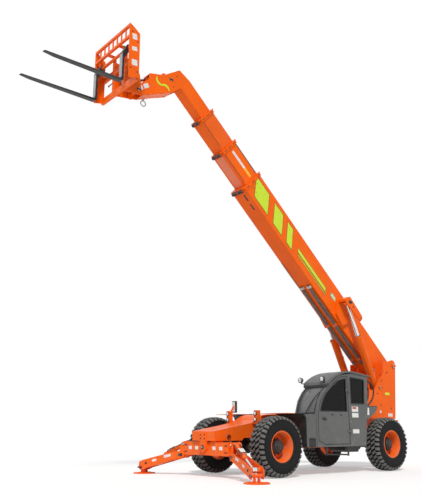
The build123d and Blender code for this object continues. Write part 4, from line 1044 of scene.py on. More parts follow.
def make_head():
    """The gooseneck: its plates' finish, blank plates, stripe, lifting ring, pins and seams."""
    half = BOOM["tip"][0]
    dressed("boom_tip", "orange_paint", 0.005)
    white = [label(place, (0.155, 0.115), at_head, half, 0.55)
             for place in ((0.07, 0.085), (0.235, 0.195))]
    stripe = sampled([(0.56, 0.57), ((0.60, 0.44), (0.70, 0.40)), ((0.86, 0.42), (0.93, 0.30)),
                      (0.915, 0.27), ((0.84, 0.36), (0.70, 0.355)), ((0.56, 0.40), (0.53, 0.555))], 8)
    lime = [slab(stripe, half, half + 0.0025, at_head, 0.0005)]
    centre, radius, wire = head_point(0.0, 0.260, -0.215), 0.069, 0.0145
    out = circle(40, *np.eye(3)[1:])
    rings = (centre + radius * out)[:, None] + wire * circle(12, out, np.eye(3)[0])
    dark, steel = [], []
    for side in SIDES:
        head, keeper, heads = pin_end(*head_point(side * (half + 0.004), 0.980, 0.630), 0.038, 0.008)
        dark += keeper + heads
        steel += head
        for place in ((1.16, 0.78), (1.05, 0.45)):
            dark += bolts([head_point(side * half, *place)], (side, 0, 0), 0.011, 0.009)
    steel += [skin(rings, closed=True),
              disc(head_point(-0.026, 0.26, -0.112), (1, 0, 0), 0.020, 0.052, 16)]
    orange = [weld([head_point(side * 0.1465, *p) for p in line], 0.005) for side in SIDES
              for line in (((0.0, -0.108), (0.15, -0.085), (0.55, 0.088), (1.0, 0.270)),
                           ((0.345, 0.576), (0.55, 0.588), (0.74, 0.665), (1.22, 0.975)))]
    orange.append(head_box((-0.05, 0.05), (0.80, 0.87), (0.735, 0.80), 0.004, 0.01))
    tail = ((0.36, 0.545), (0.22, 0.40), (0.10, 0.28), (0.02, 0.20))
    hoses = [hose([head_point(x, *p) for p in tail], 0.011, 10) for x in (0.085, -0.085)]
    piece("head_fittings", "boom_tip",
          {"orange_paint": orange, "black_paint": dark, "steel": steel, "hose": hoses})
    piece("head_plates", "boom_tip", {"plate_white": both(white), "plate_lime": both(lime)})
    dressed("tilt_barrel", "orange_paint", 0.004)


def fork_profile(x):
    """A fork: its side outline swept across, with the blade's tip narrowed in plan."""
    face, back, heel, top = -0.760, -0.705, -0.240, -0.185
    tip, shank = face - 1.880, 0.490
    outline = sampled([(tip, top - 0.016), (tip + 0.25, heel + 0.026), (back - 0.070, heel),
                       ((back - 0.0205, heel + 0.0205), (back, heel + 0.070)), (back, shank - 0.13),
                       (-0.560, 0.600), ((-0.514, 0.670), (-0.550, 0.736)), (-0.630, 0.740),
                       (face, shank), (face, top + 0.030),
                       ((face - 0.009, top + 0.009), (face - 0.030, top)), (tip + 0.03, top - 0.001),],
                      6)
    u, v = outline[:, 0], outline[:, 1]
    narrow = np.clip((u - tip) / 0.30, 0, 1)
    half = 0.065 * (0.55 + 0.45 * np.sqrt(1 - (1 - narrow) ** 2))
    inner = inset(outline, 0.004)
    rings = []
    for line, share in ((inner, -1.0), (outline, -0.94), (outline, 0.94), (inner, 1.0)):
        rings.append(at_head(line[:, 0], line[:, 1], x + share * half))
    return skin(rings)


def make_forks():
    """Two forks with bright shank faces and a bolt at the top of each."""
    for side, x in (("left", 0.606), ("right", -0.606)):
        worn = slab(rectangle((x - 0.056, x + 0.056), (-0.135, 0.455), 0.008, 2), HEAD_Y - 0.7625,
                    HEAD_Y - 0.760, lambda u, v, w: facing(u, HEAD_Z + v, w), 0.0006)
        pins = bolts([head_point(x, -0.69, 0.690)], (0, 0, 1), 0.014, 0.012)
        piece(f"fork_{side}_finished", f"fork_{side}",
              {"black_paint": [fork_profile(x), *pins], "worn_steel": [worn]}, (f"fork_{side}",))


def make_carriage():
    """The fork carriage: its plates' finish, blank plates, pins, hoses and bright rods."""
    dressed("carriage_frame", "orange_paint", 0.005)
    out, y, z = 0.810, -0.340, 0.320
    white = [label((-0.535, 0.905), (0.125, 0.150), at_head, out, 0.12),
             label((-0.530, 0.590), (0.135, 0.105), at_head, out, 0.12),
             label((-0.520, 0.235), (0.150, 0.150), at_head, out, 0.08)]
    chrome, black, dark, steel = [], [], [], []
    orange = [bar(head_point(-0.205, y, z), head_point(0.205, y, z), 0.047, 28)]
    for side in SIDES:
        chrome.append(bar(head_point(side * 0.252, y, z), head_point(side * 0.622, y, z), 0.0225, 20))
        black.append(bar(head_point(side * 0.215, y, z), head_point(side * 0.256, y, z), 0.052, 24))
        dark += bolts([head_point(side * 0.657, y, z)], (side, 0, 0), 0.018, 0.012)
        for place in ((-0.62, 0.08), (-0.44, 0.02), (-0.60, 1.02), (-0.45, 0.80)):
            dark += bolts([head_point(side * out, *place)], (side, 0, 0), 0.013, 0.010)
        head, keeper, heads = pin_end(*head_point(side * 0.199, 0.0, 0.0), 0.039, 0.010)
        steel += head
        dark += keeper + heads
        x = 0.228 * side
        row = ((y + 0.045, z + 0.02), (-0.24, 0.42), (-0.17, 0.52), (-0.21, 0.64), (-0.32, 0.68),
               (-0.392, 0.62))
        black.append(hose([head_point(x, *p) for p in row], 0.012, 10))
        black.append(bar(head_point(x, y - 0.02, z), head_point(x, y + 0.06, z + 0.02), 0.017, 12))
        for line in (((-0.665, 0.87), (-0.665, 1.20)), ((-0.392, -0.10), (-0.392, 0.60))):
            orange.append(weld([head_point(side * 0.779, *p) for p in line], 0.005))
    piece("carriage_fittings", "carriage",
          {"orange_paint": orange, "chrome": chrome, "black_paint": dark, "hose": black, "steel": steel})
    piece("carriage_plates", "carriage", {"plate_white": both(white)})


# ---------------------------------------------------------------- lift cylinders and tower
def lift_line():
    """The lift cylinders' base pin and rod pin, and the way between them."""
    base = (np.array(JOINTS["lift_barrel_swing"]["pos_m"]) - [0.0, AXLE_Y, 0.0])[1:]
    top = on_boom(*LIFT_PIN, 0.0)[1:]
    return base, top, (top - base) / np.linalg.norm(top - base)


def make_lift():
    """The lift cylinders: glands, bolts, steel pipes, clips and hoses on the barrels, and the bright
    rods.
    """
    base, _, run = lift_line()
    up = np.array([-run[1], run[0]])
    up = up if up[0] < 0 else -up
    direction = np.array([0.0, *run])
    dressed("lift_barrels", "orange_paint", 0.004)
    dressed("lift_rods", "chrome", 0.003)

    def at(x, along, above):
        """A point beside a cylinder: so far along it, and so far above its line towards the front."""
        return np.array([x, *(base + run * along + up * above)])

    def beside(u, v, w):
        """Outline along a cylinder and above its line, depth along x."""
        return across(base[0] + run[0] * u + up[0] * v, base[1] + run[1] * u + up[1] * v, w)

    gland = [(0, 0.109), (0.006, 0.113), (0.064, 0.113), (0.070, 0.108), (0.070, 0.0995), (0, 0.0995)]
    orange, dark, steel, hoses = [], [], [], []
    ring = circle(10, *frame_of(direction))
    for x in (0.450, -0.450):
        pipe = x - math.copysign(0.03, x)
        orange.append(collar(at(x, 1.490, 0.0), direction, gland, 40))
        dark += bolts(at(x, 1.560, 0.0) + 0.088 * ring, direction, 0.009, 0.008)
        wiper = [(0, 0.072), (0.010, 0.070), (0.012, 0.0595), (0, 0.0595)]
        dark.append(collar(at(x, 1.560, 0), direction, wiper, 32))
        row = ((0.30, -0.118), (0.9, -0.118), (1.38, -0.118), (1.44, -0.110))
        steel.append(hose([at(pipe, *p) for p in row], 0.011, 10, 5))
        for along in (0.45, 0.95, 1.32):
            line = rectangle((along - 0.02, along + 0.02), (-0.132, -0.092), 0.006, 2)
            ends = sorted((x - math.copysign(0.05, x), x - math.copysign(0.01, x)))
            orange.append(slab(line, *ends, beside, 0.002))
        dark.append(lathe([(0, 0.026), (0.022, 0.026), (0.024, 0.018), (0.046, 0.018)],
                          at(x, 0.22, -0.092), (0.0, *-up), 6))
        bend = at(x - math.copysign(0.015, x), 0.30, -0.150)
        row = [at(x, 0.22, -0.130), at(x, 0.235, -0.150), bend, at(pipe, 0.34, -0.118)]
        hoses.append(hose(row, 0.011, 10))
    piece("lift_barrel_fittings", "lift_barrels",
          {"orange_paint": orange, "black_paint": dark, "steel": steel, "hose": hoses})


def make_tower():
    """The tower and frame: seams, bolts, pin keepers, blank plates and hoses."""
    dressed("chassis_frame", "orange_paint", 0.005)
    dressed("tower_pins", "steel", 0.003)
    dressed("counterweight", "orange_paint", 0.012)
    base = lift_line()[0]
    orange, dark, steel = [], [], []
    for side in SIDES:
        for y, z, radius, out in ((PIVOT_Y, PIVOT_Z, 0.056, 0.622), (*base, 0.042, 0.620)):
            head, keeper, heads = pin_end(side * out, y, z, radius, 0.006)
            steel += head
            dark += heads
            orange += keeper
        for y, z in ((4.76, 2.38), (4.54, 2.18 - 0.16), (5.02, 2.62), (4.66, 1.70), (5.12, 1.62)):
            dark += bolts([(side * TOWER_OUT, y, z)], (side, 0, 0), 0.016, 0.012)
        orange.append(weld([(side * TOWER_OUT, y, 1.345) for y in (4.17, 4.75, 5.27)], 0.006))
    yellow = [slab(rounded([(4.86, 1.985), (5.10, 1.985), (5.07, 2.055), (4.89, 2.055)], 0.02, 4),
                   TOWER_OUT, 0.6028, across, 0.0006)]
    white = [label((5.06, 1.435), (0.20, 0.085), across, TOWER_OUT),
             label((4.62, 1.52), (0.07, 0.07), across, TOWER_OUT)]
    rows = [[(x, 4.36 + 0.005 * number, 1.34), (x, 4.37, 1.60), (x, 4.33, 1.735), (x, 4.272, 1.66)]
            for number, x in enumerate((-0.22, -0.15, -0.08, 0.08, 0.15, 0.22))]
    hoses = [hose(row, 0.016, 10, 8) for row in rows]
    piece("tower_fittings", "chassis",
          {"orange_paint": orange, "black_paint": dark, "steel": steel, "hose": hoses})
    piece("tower_plates", "chassis", {"plate_lime": both(yellow), "plate_white": both(white)})


# ---------------------------------------------------------------- outriggers and crossbeam
ARM_X, ARM_Y, SPLAY = 0.955, -1.060, math.radians(21.0)
STAB_TOP, STAB_EYE = np.array([-0.045, 0.715]), np.array([1.030, 0.250])


def on_arm(u, v, w):
    """Outline in (u, z), out along an arm and up, depth w across it towards the rear."""
    u, w = np.asarray(u), np.asarray(w)
    return np.stack([ARM_X + u * math.cos(SPLAY) + w * math.sin(SPLAY),
                     ARM_Y - u * math.sin(SPLAY) + w * math.cos(SPLAY), np.asarray(v)], -1)


def beside_stab(u, v, w):
    """Outline along an outrigger's cylinder from its upper pin and above its line, depth across."""
    run = (STAB_EYE - STAB_TOP) / np.linalg.norm(STAB_EYE - STAB_TOP)
    u, v = np.asarray(u), np.asarray(v)
    return on_arm(STAB_TOP[0] + u * run[0] - v * run[1], STAB_TOP[1] + u * run[1] + v * run[0], w)


ACROSS_ARM = np.array([math.sin(SPLAY), math.cos(SPLAY), 0.0])


def two_sided(name, body, groups):
    """The same piece on the left and, mirrored, on the right."""
    piece(f"{name}_left", f"{body}_left", groups)
    piece(f"{name}_right", f"{body}_right",
          {finish: [mirrored(part) for part in parts] for finish, parts in groups.items()})


def make_outriggers():
    """Arms, cylinders with their guards, bright rods and foot plates, on both sides."""
    for side in ("left", "right"):
        for part, finish, width in (("arm", "orange_paint", 0.005), ("barrel", "orange_paint", 0.003),
                                    ("rod", "chrome", 0.002), ("pad", "orange_paint", 0.004)):
            dressed(f"outrigger_{part}_{side}", finish, width)
    dark, steel, orange = [], [], []
    for w in (-1.0, 1.0):
        for u, z, radius, out in ((0.0, 0.470, 0.038, 0.152), (1.165, 0.150, 0.029, 0.150)):
            dark.append(disc(on_arm(u, z, w * out), w * ACROSS_ARM, radius, 0.008))
            keeper = rectangle((u + 0.02, u + 0.105), (z - 0.018, z + 0.018), 0.008, 2)
            dark.append(slab(keeper, *sorted((w * 0.140, w * (out + 0.006))), on_arm, 0.002))
            steel += bolts([on_arm(u + 0.085, z, w * (out + 0.006))], w * ACROSS_ARM, 0.011, 0.008)
        dark += bolts([on_arm(1.030, 0.250, w * 0.140)], w * ACROSS_ARM, 0.022, 0.014)
        line = [on_arm(u, z, w * 0.1415) for u, z in ((0.10, 0.40), (0.55, 0.262), (0.98, 0.148))]
        orange.append(weld(line, 0.004))

    def on_front(u, v, w):
        """The same outline on the arm's other face."""
        return on_arm(u, v, -w)

    white = [label((0.40, 0.435), (0.20, 0.060), on_front, 0.140, -0.22),
             label((0.78, 0.325), (0.13, 0.055), on_front, 0.140, -0.25),
             label((0.40, 0.435), (0.20, 0.060), on_arm, 0.140, -0.22)]
    two_sided("outrigger_arm_fittings", "outrigger_arm",
              {"orange_paint": orange, "black_paint": dark, "steel": steel, "plate_white": white})

    top = 0.058 + 0.008
    plate = slab(rectangle((0.30, 0.47), (-0.060, 0.060), 0.01, 3), top, 0.058 + 0.0105,
                 lambda u, v, w: beside_stab(u, w, v), 0.0006)
    heads = bolts([beside_stab(u, top, w) for u in (0.08, 0.50) for w in (-0.062, 0.062)],
                  beside_stab(0, 1, 0) - beside_stab(0, 0, 0), 0.009, 0.008)
    gland = collar(beside_stab(0.612, 0, 0), beside_stab(1, 0, 0) - beside_stab(0, 0, 0),
                   [(0, 0.0495), (0.004, 0.054), (0.044, 0.054), (0.049, 0.050), (0.054, 0.032),
                    (0.050, 0.0295), (0, 0.0295)], 32)
    dark, hoses = [], []
    for w in (-1.0, 1.0):
        dark += bolts([beside_stab(0, 0, w * 0.080)], w * ACROSS_ARM, 0.020, 0.010)
        row = ((0.56, 0.03, 0.030), (0.48, 0.048, 0.066), (0.25, 0.04, 0.070), (0.06, 0.035, 0.070),
               (-0.03, 0.01, 0.092))
        hoses.append(hose([beside_stab(u, v, w * d) for u, v, d in row], 0.009, 10))
    two_sided("outrigger_barrel_fittings", "outrigger_barrel",
              {"orange_paint": [gland], "black_paint": dark, "steel": heads, "plate_white": [plate],
               "hose": hoses})
    foot = np.array([ARM_X + 1.165 * math.cos(SPLAY), ARM_Y - 1.165 * math.sin(SPLAY)])
    ribs = []
    for angle in np.arange(6) * math.pi / 3 + 0.2:
        way = np.array([math.cos(angle), math.sin(angle)])
        ribs.append(bar((*(foot + 0.085 * way), 0.024), (*(foot + 0.255 * way), 0.024), 0.008, 8))
    two_sided("outrigger_pad_ribs", "outrigger_pad", {"orange_paint": ribs})


BEAM_FRONT, NOSE_FRONT = -1.180, -1.240
FORWARD = (0, -1, 0)


def on_beam(side):
    """Place on the crossbeam's front: outline outwards from near its middle and up, depth forwards."""
    return lambda u, v, w: np.stack([side * (0.16 + u), BEAM_FRONT - w, v], -1)


def make_nose():
    """Crossbeam, nose and lamp posts: seams, blank plates, bushes, the towing pin, lamps and hoses."""
    dressed("crossbeam", "orange_paint", 0.005)
    dressed("lamp_posts", "orange_paint", 0.005)
    white, dark, orange, steel, lenses, hoses = [], [], [], [], [], []
    for side in SIDES:
        place, to_side = on_beam(side), [side, 1.0, 1.0]
        white += [label((u, 0.64), (0.115, 0.075), place, 0.0) for u in (0.16, 0.40)]
        for z in (0.4815, 0.7685):
            orange.append(weld([place(u, z, 0.001) for u in (0.0, 0.35, 0.635)], 0.005))
        dark += bolts([place(u, z, 0.0) for u in (0.545, 0.60) for z in (0.55, 0.70)], FORWARD,
                      0.014, 0.012)
        for w in (-1.0, 1.0):
            for u, z, radius, out in ((-0.045, 0.715, 0.028, 0.125), (0.0, 0.470, 0.038, 0.115)):
                start, way = on_arm(u, z, w * out) * to_side, ACROSS_ARM * w * to_side
                steel.append(disc(start, way, radius, 0.010))
        bush = [(0, 0.0425), (0, 0.058), (0.016, 0.058), (0.019, 0.055), (0.019, 0.0425)]
        dark.append(collar((side * 0.388, -0.800, 0.880), (side, 0, 0), bush, 32))
        x = side * 0.399
        orange.append(weld([(x, NOSE_FRONT + 0.001, z) for z in (0.805, 0.90, 1.005)], 0.005))
        x = side * 0.3995
        line = [(x, NOSE_FRONT + 0.004, 1.008), (x, -0.68, 1.0985), (x, -0.12, 1.1885)]
        orange.append(weld(line, 0.005))
        x = side * 0.500
        for z in (1.275, 1.415):
            lens = [(0, 0.040), (0.004, 0.040), (0.010, 0.028), (0.013, 0.010)]
            rim = [(0, 0.0465), (0, 0.052), (0.018, 0.052), (0.021, 0.049), (0.021, 0.0395)]
            lenses.append(lathe(lens, (x, -0.076, z), FORWARD, 24))
            dark.append(collar((x, -0.060, z), FORWARD, rim, 32))
        dark += bolts([(x + d, -0.0600, 1.225) for d in (-0.045, 0.045)], FORWARD, 0.008, 0.006)
        dark += bolts([(x + d, y, 1.200) for d in (-0.045, 0.045) for y in (-0.070, 0.060)], (0, 0, 1),
                      0.010, 0.009)
        row = [(x, 0.050, 1.30), (x, 0.09, 1.27), (side * 0.47, 0.10, 1.16), (side * 0.415, 0.12, 1.06)]
        hoses.append(hose(row, 0.008, 8))
    arm = [(0.0, 1.460), (0.046, 1.460), (0.170, 1.600), (0.170, 1.640), (0.140, 1.640)]
    cover = sampled([(0.090, 1.270), (0.105, 1.284), ((0.300, 1.376), (0.500, 1.405)), (0.900, 1.412),
                     (0.900, 1.270)], 10)
    bracket = sampled([(0.115, 0.985), (0.105, 0.660), ((0.0, 0.555), (-0.105, 0.660)),
                       (-0.115, 0.985)], 14)
    front = NOSE_FRONT - 0.022
    orange += [slab(arm, -0.512, -0.500, across, 0.002), slab(cover, -0.384, 0.384, across, 0.010),
               slab(bracket, front, BEAM_FRONT, facing, 0.005)]
    dark.append(disc((0.0, front, 0.660), FORWARD, 0.050, 0.010))
    steel.append(disc((0.0, front - 0.010, 0.660), FORWARD, 0.024, 0.010))
    places = [(x, front, z) for x in (-0.070, 0.070) for z in (0.850, 0.935)]
    dark += bolts(places, FORWARD, 0.013, 0.011)
    row = ((0.06, -0.70, 0.800), (0.10, -0.74, 0.788), (0.30, -0.83, 0.782), (0.62, -0.98, 0.782),
           (0.80, -1.075, 0.790), (0.87, -1.10, 0.760))
    hoses += [hose([(side * x, y, z) for x, y, z in row], 0.010, 8) for side in SIDES]
    piece("nose_fittings", "chassis", {"orange_paint": orange, "black_paint": dark, "steel": steel,
                                       "hose": hoses, "plate_white": white})
    lamp = [box((-0.582, -0.448), (0.143, 0.203), (1.452, 1.738), 0.006, 0.014)]
    lamp += [box((-0.572, -0.458), (0.203, 0.216), (z, z + 0.008), 0.001, 0.003)
             for z in np.arange(1.475, 1.72, 0.022)]
    face = box((-0.566, -0.464), (0.1375, 0.144), (1.470, 1.720), 0.003, 0.010)
    piece("post_lamps", "chassis", {"plastic": lamp, "lamp_glass": lenses + [face]})


# ---------------------------------------------------------------- fenders, cowl, step and hood
def make_fenders():
    """Fenders: painted sheet in front, and black moulding with a lip and ribs behind."""
    outer, inner_x, top, low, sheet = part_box("front_fenders")[1].y - AXLE_Y, 0.400, 1.420, 0.640, 0.010
    front_part = [(0.200, top - sheet), (0.200, top), (0.455, top), (0.455, top - sheet)]
    rear_part = sampled([(0.455, top - sheet), (0.455, top), (outer - 0.150, top),
                         ((outer - 0.044, top - 0.044), (outer, top - 0.150)), (outer, low),
                         (outer - sheet, low), (outer - sheet, top - 0.150),
                         ((outer - sheet - 0.040, top - 0.058), (outer - 0.150, top - sheet))], 8)
    lip = ((0.456, top), (outer - 0.15, top), (outer - 0.04, top - 0.045), (outer - 0.004, top - 0.15),
           (outer - 0.005, low + 0.01))
    rib = sampled([(0.47, top - 0.0005), (outer - 0.150, top - 0.0005),
                   ((outer - 0.0445, top - 0.0445), (outer - 0.0005, top - 0.150)),
                   (outer - 0.0005, low + 0.06)], 6)
    orange, black = [], []
    for side in SIDES:
        ends = sorted((side * inner_x, side * 1.290))
        orange.append(slab(front_part, *ends, across, 0.002))
        black.append(slab(rear_part, *ends, across, 0.003))
        black.append(hose([(side * 1.282, y - 0.004, z - 0.004) for y, z in lip], 0.006, 8, 5))
        for x in (0.62, 0.86, 1.10):
            black.append(hose([(side * x, y - 0.003, z - 0.002) for y, z in rib], 0.0055, 6, 2))
    piece("fender_finished", "chassis", {"plastic": black, "orange_paint": orange}, ("front_fenders",))


def make_steps():
    """The cowl's step recess with its treads, the step bar, and the tool chest behind it."""
    x = 1.180
    treads = [slab(rectangle((0.985, 1.225), (0.645, 0.850), 0.04, 4), 1.220, 1.2225, across, 0.001)]
    dark = [bar((x, 1.640, 0.470), (x, 2.440, 0.440), 0.016)]
    for y, z in ((1.640, 0.470), (2.440, 0.440)):
        dark.append(box((x - 0.008, x + 0.008), (y - 0.030, y + 0.030), (z - 0.024, 0.645), 0.002))
    chest = [(2.400, 0.642), (2.400, 0.545), (2.470, 0.500), (2.910, 0.500), (2.970, 0.642)]
    dark.append(slab(chest, 0.600, x - 0.060, across, 0.006))
    for z in (0.660, 0.835):
        treads.append(box((1.220, 1.236), (0.992, 1.218), (z - 0.012, z + 0.002), 0.002, 0.003))
    grip = np.arange(1.68, 2.41, 0.05)
    cleat = box((1.160, 1.200), (-0.010, 0.010), (-0.004, 0.004), 0.001, 0.003)
    treads.append(copies(cleat, np.stack([0 * grip, grip, 0.488 - 0.030 * ((grip - 1.64) / 0.80)], 1)))
    dark.append(box((0.66, 1.10), (2.3945, 2.4005), (0.556, 0.600), 0.002, 0.004))
    for x in (0.74, 1.02):
        dark.append(box((x - 0.018, x + 0.018), (2.388, 2.400), (0.600, 0.635), 0.002, 0.003))
    piece("step_treads", "chassis", {"hose": treads, "black_paint": dark})


def make_hood_fittings():
    """The hood's latches, hinges, painted shade in its panel gaps, filler cap and exhaust."""
    black, steel = [], []
    for y in (1.25, 2.95):
        black.append(box((-1.222, -1.209), (y - 0.045, y + 0.045), (1.225, 1.275), 0.003, 0.010))
        black.append(box((-1.230, -1.221), (y - 0.030, y + 0.030), (1.240, 1.260), 0.002, 0.006))
    for y in (1.30, 2.10, 2.90):
        black.append(bar((-0.470, y - 0.05, 1.4115), (-0.470, y + 0.05, 1.4115), 0.010, 12))
        steel += bolts([(-0.505, y + d, 1.410) for d in (-0.03, 0.03)], (0, 0, 1), 0.008, 0.006)
    black.append(lathe([(0, 0.050), (0.006, 0.055), (0.022, 0.055), (0.030, 0.046), (0.034, 0.020)],
                       (-0.95, 1.12, 1.410), (0, 0, 1), 32))
    # Thin black strips paint the shade in the hood's panel gaps.
    for x in (-0.62, -0.98):
        black.append(box((x - 0.006, x + 0.006), (1.10, 3.12), (1.409, 1.4125), 0.001, 0.003))
    steel.append(lathe([(0, 0.052), (0.12, 0.052), (0.20, 0.046), (0.205, 0.040), (0.19, 0.040),
                        (0.02, 0.040)], (-0.70, 3.02, 1.40), (0, 0, 1), 32))
    piece("hood_fittings", "chassis", {"plastic": black, "steel": steel})


def make_rear():
    """The rear weight's lamps, bolts, towing jaw and blank plate."""
    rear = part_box("counterweight")[1].y - AXLE_Y
    dark = [box((x, x + 0.100), (rear - 0.001, rear + 0.020), (1.000, 1.160), 0.003)
            for x in (-0.440, 0.340)]
    red = []
    for side in SIDES:
        for z in (1.045, 1.115):
            red.append(lathe([(0, 0.030), (0.004, 0.030), (0.008, 0.020), (0.009, 0.006)],
                             (side * 0.390, rear + 0.019, z), (0, 1, 0), 24))
        dark += bolts([(side * 0.20, rear, z) for z in (0.80, 1.15)], (0, 1, 0), 0.020, 0.016)
    dark.append(box((-0.09, 0.09), (rear - 0.002, rear + 0.012), (0.84, 1.02), 0.004, 0.012))
    pin = bar((0.0, rear + 0.004, 0.83), (0.0, rear + 0.004, 1.04), 0.010, 16)
    white = [label((0.0, 1.22), (0.22, 0.10), facing, rear)]
    piece("rear_fittings", "chassis",
          {"black_paint": dark, "lamp_red": red, "steel": [pin], "plate_white": white})


def make_bodywork():
    """The fenders, the step, the engine hood and the rear end."""
    make_fenders()
    dressed("cab_cowl", "grey_paint", 0.008)
    dressed("engine_hood", "grey_paint", 0.004)
    make_steps()
    make_hood_fittings()
    make_rear()


# ---------------------------------------------------------------- cab
CAB_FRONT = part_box("cab_cowl")[1].y - AXLE_Y
CAB_INNER, CAB_OUTER, SILL = 0.500, 1.220, 1.480
SEAT_X, LEVER_X = 0.870, 0.591


def cab_line(steps, per=8):
    """A cab outline from (distance behind the cab's front, z) steps, as (y, z) points."""
    return sampled(steps, per) + [CAB_FRONT, 0.0]


DOOR_LINE = [(1.220, 0.700), (0.290, 0.700), (0.070, 0.790), (0.070, 1.300), (0.095, 1.460),
             (0.180, 1.715), (0.330, 1.905), (0.520, 2.070), (0.925, 2.325), (1.220, 2.365)]
DOOR_PANE = [(1.160, SILL), (0.160, SILL), ((0.280, 1.775), (0.560, 2.035)),
             ((0.840, 2.225), (1.160, 2.300))]
QUARTER_PANE = [(1.320, 1.680), (1.320, 2.310), ((1.329, 2.331), (1.350, 2.340)), (1.860, 2.304),
                ((1.881, 2.294), (1.890, 2.270)), (1.850, 1.680)]
INNER_PANE = [(0.430, 1.500), (0.290, 1.700), ((0.560, 2.060), (0.930, 2.290)), (1.880, 2.290),
              (1.850, 1.600)]
SCREEN_LINE = [(0.0, 1.300), ((0.120, 1.740), (0.470, 2.105))]


ROOF_LINE = [(0.420, 2.080), (0.390, 2.120), (0.410, 2.195), ((0.860, 2.420), (1.410, 2.496)),
             (2.150, 2.410), (2.150, 2.375), (2.030, 2.385), (1.430, 2.445),
             ((0.980, 2.400), (0.470, 2.105))]
RIB_LINE = [(0.800, 2.370), ((1.000, 2.444), (1.410, 2.498)), (2.100, 2.419), (2.100, 2.390),
            (1.410, 2.470)]


def make_roof():
    """The cab's crowned roof with its two ribs."""
    roof = [slab(cab_line(ROOF_LINE, 14), CAB_INNER - 0.025, CAB_OUTER + 0.025, across, 0.010)]
    for x in (CAB_INNER + 0.060, CAB_OUTER - 0.120):
        roof.append(slab(cab_line(RIB_LINE, 14) + [0.0, 0.006], x, x + 0.060, across, 0.006))
    piece("cab_roof_finished", "chassis", {"grey_paint": roof}, ("cab_roof",))


def screen_line(low, high):
    """The windscreen's line between two heights, as (y, z) points."""
    line = cab_line(SCREEN_LINE, 40)
    return line[(line[:, 1] > low) & (line[:, 1] < high)]


def make_cab_trim(screen):
    """The visor, roof lamps, wiper, hinges, blank plates, bolts and the wing behind the cab."""
    visor = [(0.396, 2.062), (0.470, 2.094), (0.500, 2.150), (0.420, 2.180), (0.386, 2.118)]
    ends = CAB_INNER - 0.028, CAB_OUTER + 0.028
    black = [slab(np.array(visor) + [CAB_FRONT, 0.0], *ends, across, 0.003)]
    lenses, steel = [], []
    rim = [(0, 0.0625), (0, 0.068), (0.020, 0.069), (0.026, 0.065), (0.026, 0.055), (0.018, 0.054)]
    y, z = CAB_FRONT + 0.372, 2.262
    for x, foot in ((CAB_INNER - 0.080, CAB_INNER + 0.020), (CAB_OUTER - 0.060, CAB_OUTER - 0.060)):
        stalk = [(x, y, z - 0.060), (x + (foot - x) * 0.3, y + 0.01, z - 0.085), (foot, y + 0.05, 2.165)]
        black += [bar((x, y - 0.050, z), (x, y + 0.020, z), 0.062, 32, 0.006),
                  bar((x, y + 0.018, z), (x, y + 0.042, z), 0.040, 24, 0.006),
                  hose(stalk, 0.014, 10, 4), collar((x, y - 0.030, z), FORWARD, rim, 36)]
        lenses.append(lathe([(0, 0.055), (0.003, 0.054), (0.007, 0.038), (0.009, 0.012)],
                            (x, y - 0.050, z), FORWARD, 32))
        steel += bolts([(x, y, z - 0.070)], (0, 0, -1), 0.010, 0.010)
    arm = [(0.860, CAB_FRONT - 0.012, 1.372), (0.93, CAB_FRONT + 0.004, 1.52),
           (1.02, CAB_FRONT + 0.060, 1.68), (1.075, CAB_FRONT + 0.125, 1.80)]
    black.append(hose(arm, 0.010, 8, 5))
    blade = []
    for share in np.linspace(0, 1, 9):
        z = 1.50 + 0.44 * share
        y = np.interp(z, screen[:, 1], screen[:, 0])
        blade.append((0.905 + 0.225 * share, y - 0.012, z))
    black.append(hose(blade, 0.009, 6, 3))
    black.append(lathe([(0, 0.030), (0.02, 0.030), (0.028, 0.020)], (0.860, CAB_FRONT - 0.002, 1.372),
                       (0, -1, 0.3), 20))
    hinge = (CAB_FRONT + 1.262, CAB_FRONT + 1.300)
    trim = [box((CAB_OUTER - 0.001, CAB_OUTER + 0.010), hinge, (z, z + 0.075), 0.003, 0.008)
            for z in (1.02, 1.93)]
    plates = (((1.470, 1.395), (0.250, 0.110), 0.0), ((1.470, 1.545), (0.250, 0.130), 0.0),
              ((1.470, 1.000), (0.250, 0.100), 0.0), ((2.010, 1.500), (0.110, 0.185), 0.018))
    white = [label((CAB_FRONT + d, z), size, across, CAB_OUTER - back) for (d, z), size, back in plates]
    red = [label((CAB_FRONT + 1.445, 1.575), (0.150, 0.045), across, CAB_OUTER + 0.0024)]
    for d, z in ((1.290, 0.70), (1.290, 1.24), (1.800, 0.70), (1.900, 1.36)):
        steel += bolts([(CAB_OUTER, CAB_FRONT + d, z)], (1, 0, 0), 0.009, 0.006)
    wing = cab_line([(1.930, 1.300), (1.960, 1.640), (2.430, 1.640), ((2.330, 1.480), (2.190, 1.410)),
                     (2.010, 1.290)])
    top = cab_line([(1.960, 1.628), (1.960, 1.640), (2.430, 1.640), (2.424, 1.628)])
    trim += [slab(wing, CAB_OUTER - 0.030, CAB_OUTER - 0.018, across, 0.002),
             slab(top, 0.760, CAB_OUTER - 0.018, across, 0.002)]
    piece("cab_trim", "chassis", {"grey_paint": trim, "plastic": black, "lamp_glass": lenses,
                                  "steel": steel, "plate_white": white, "lamp_red": red})


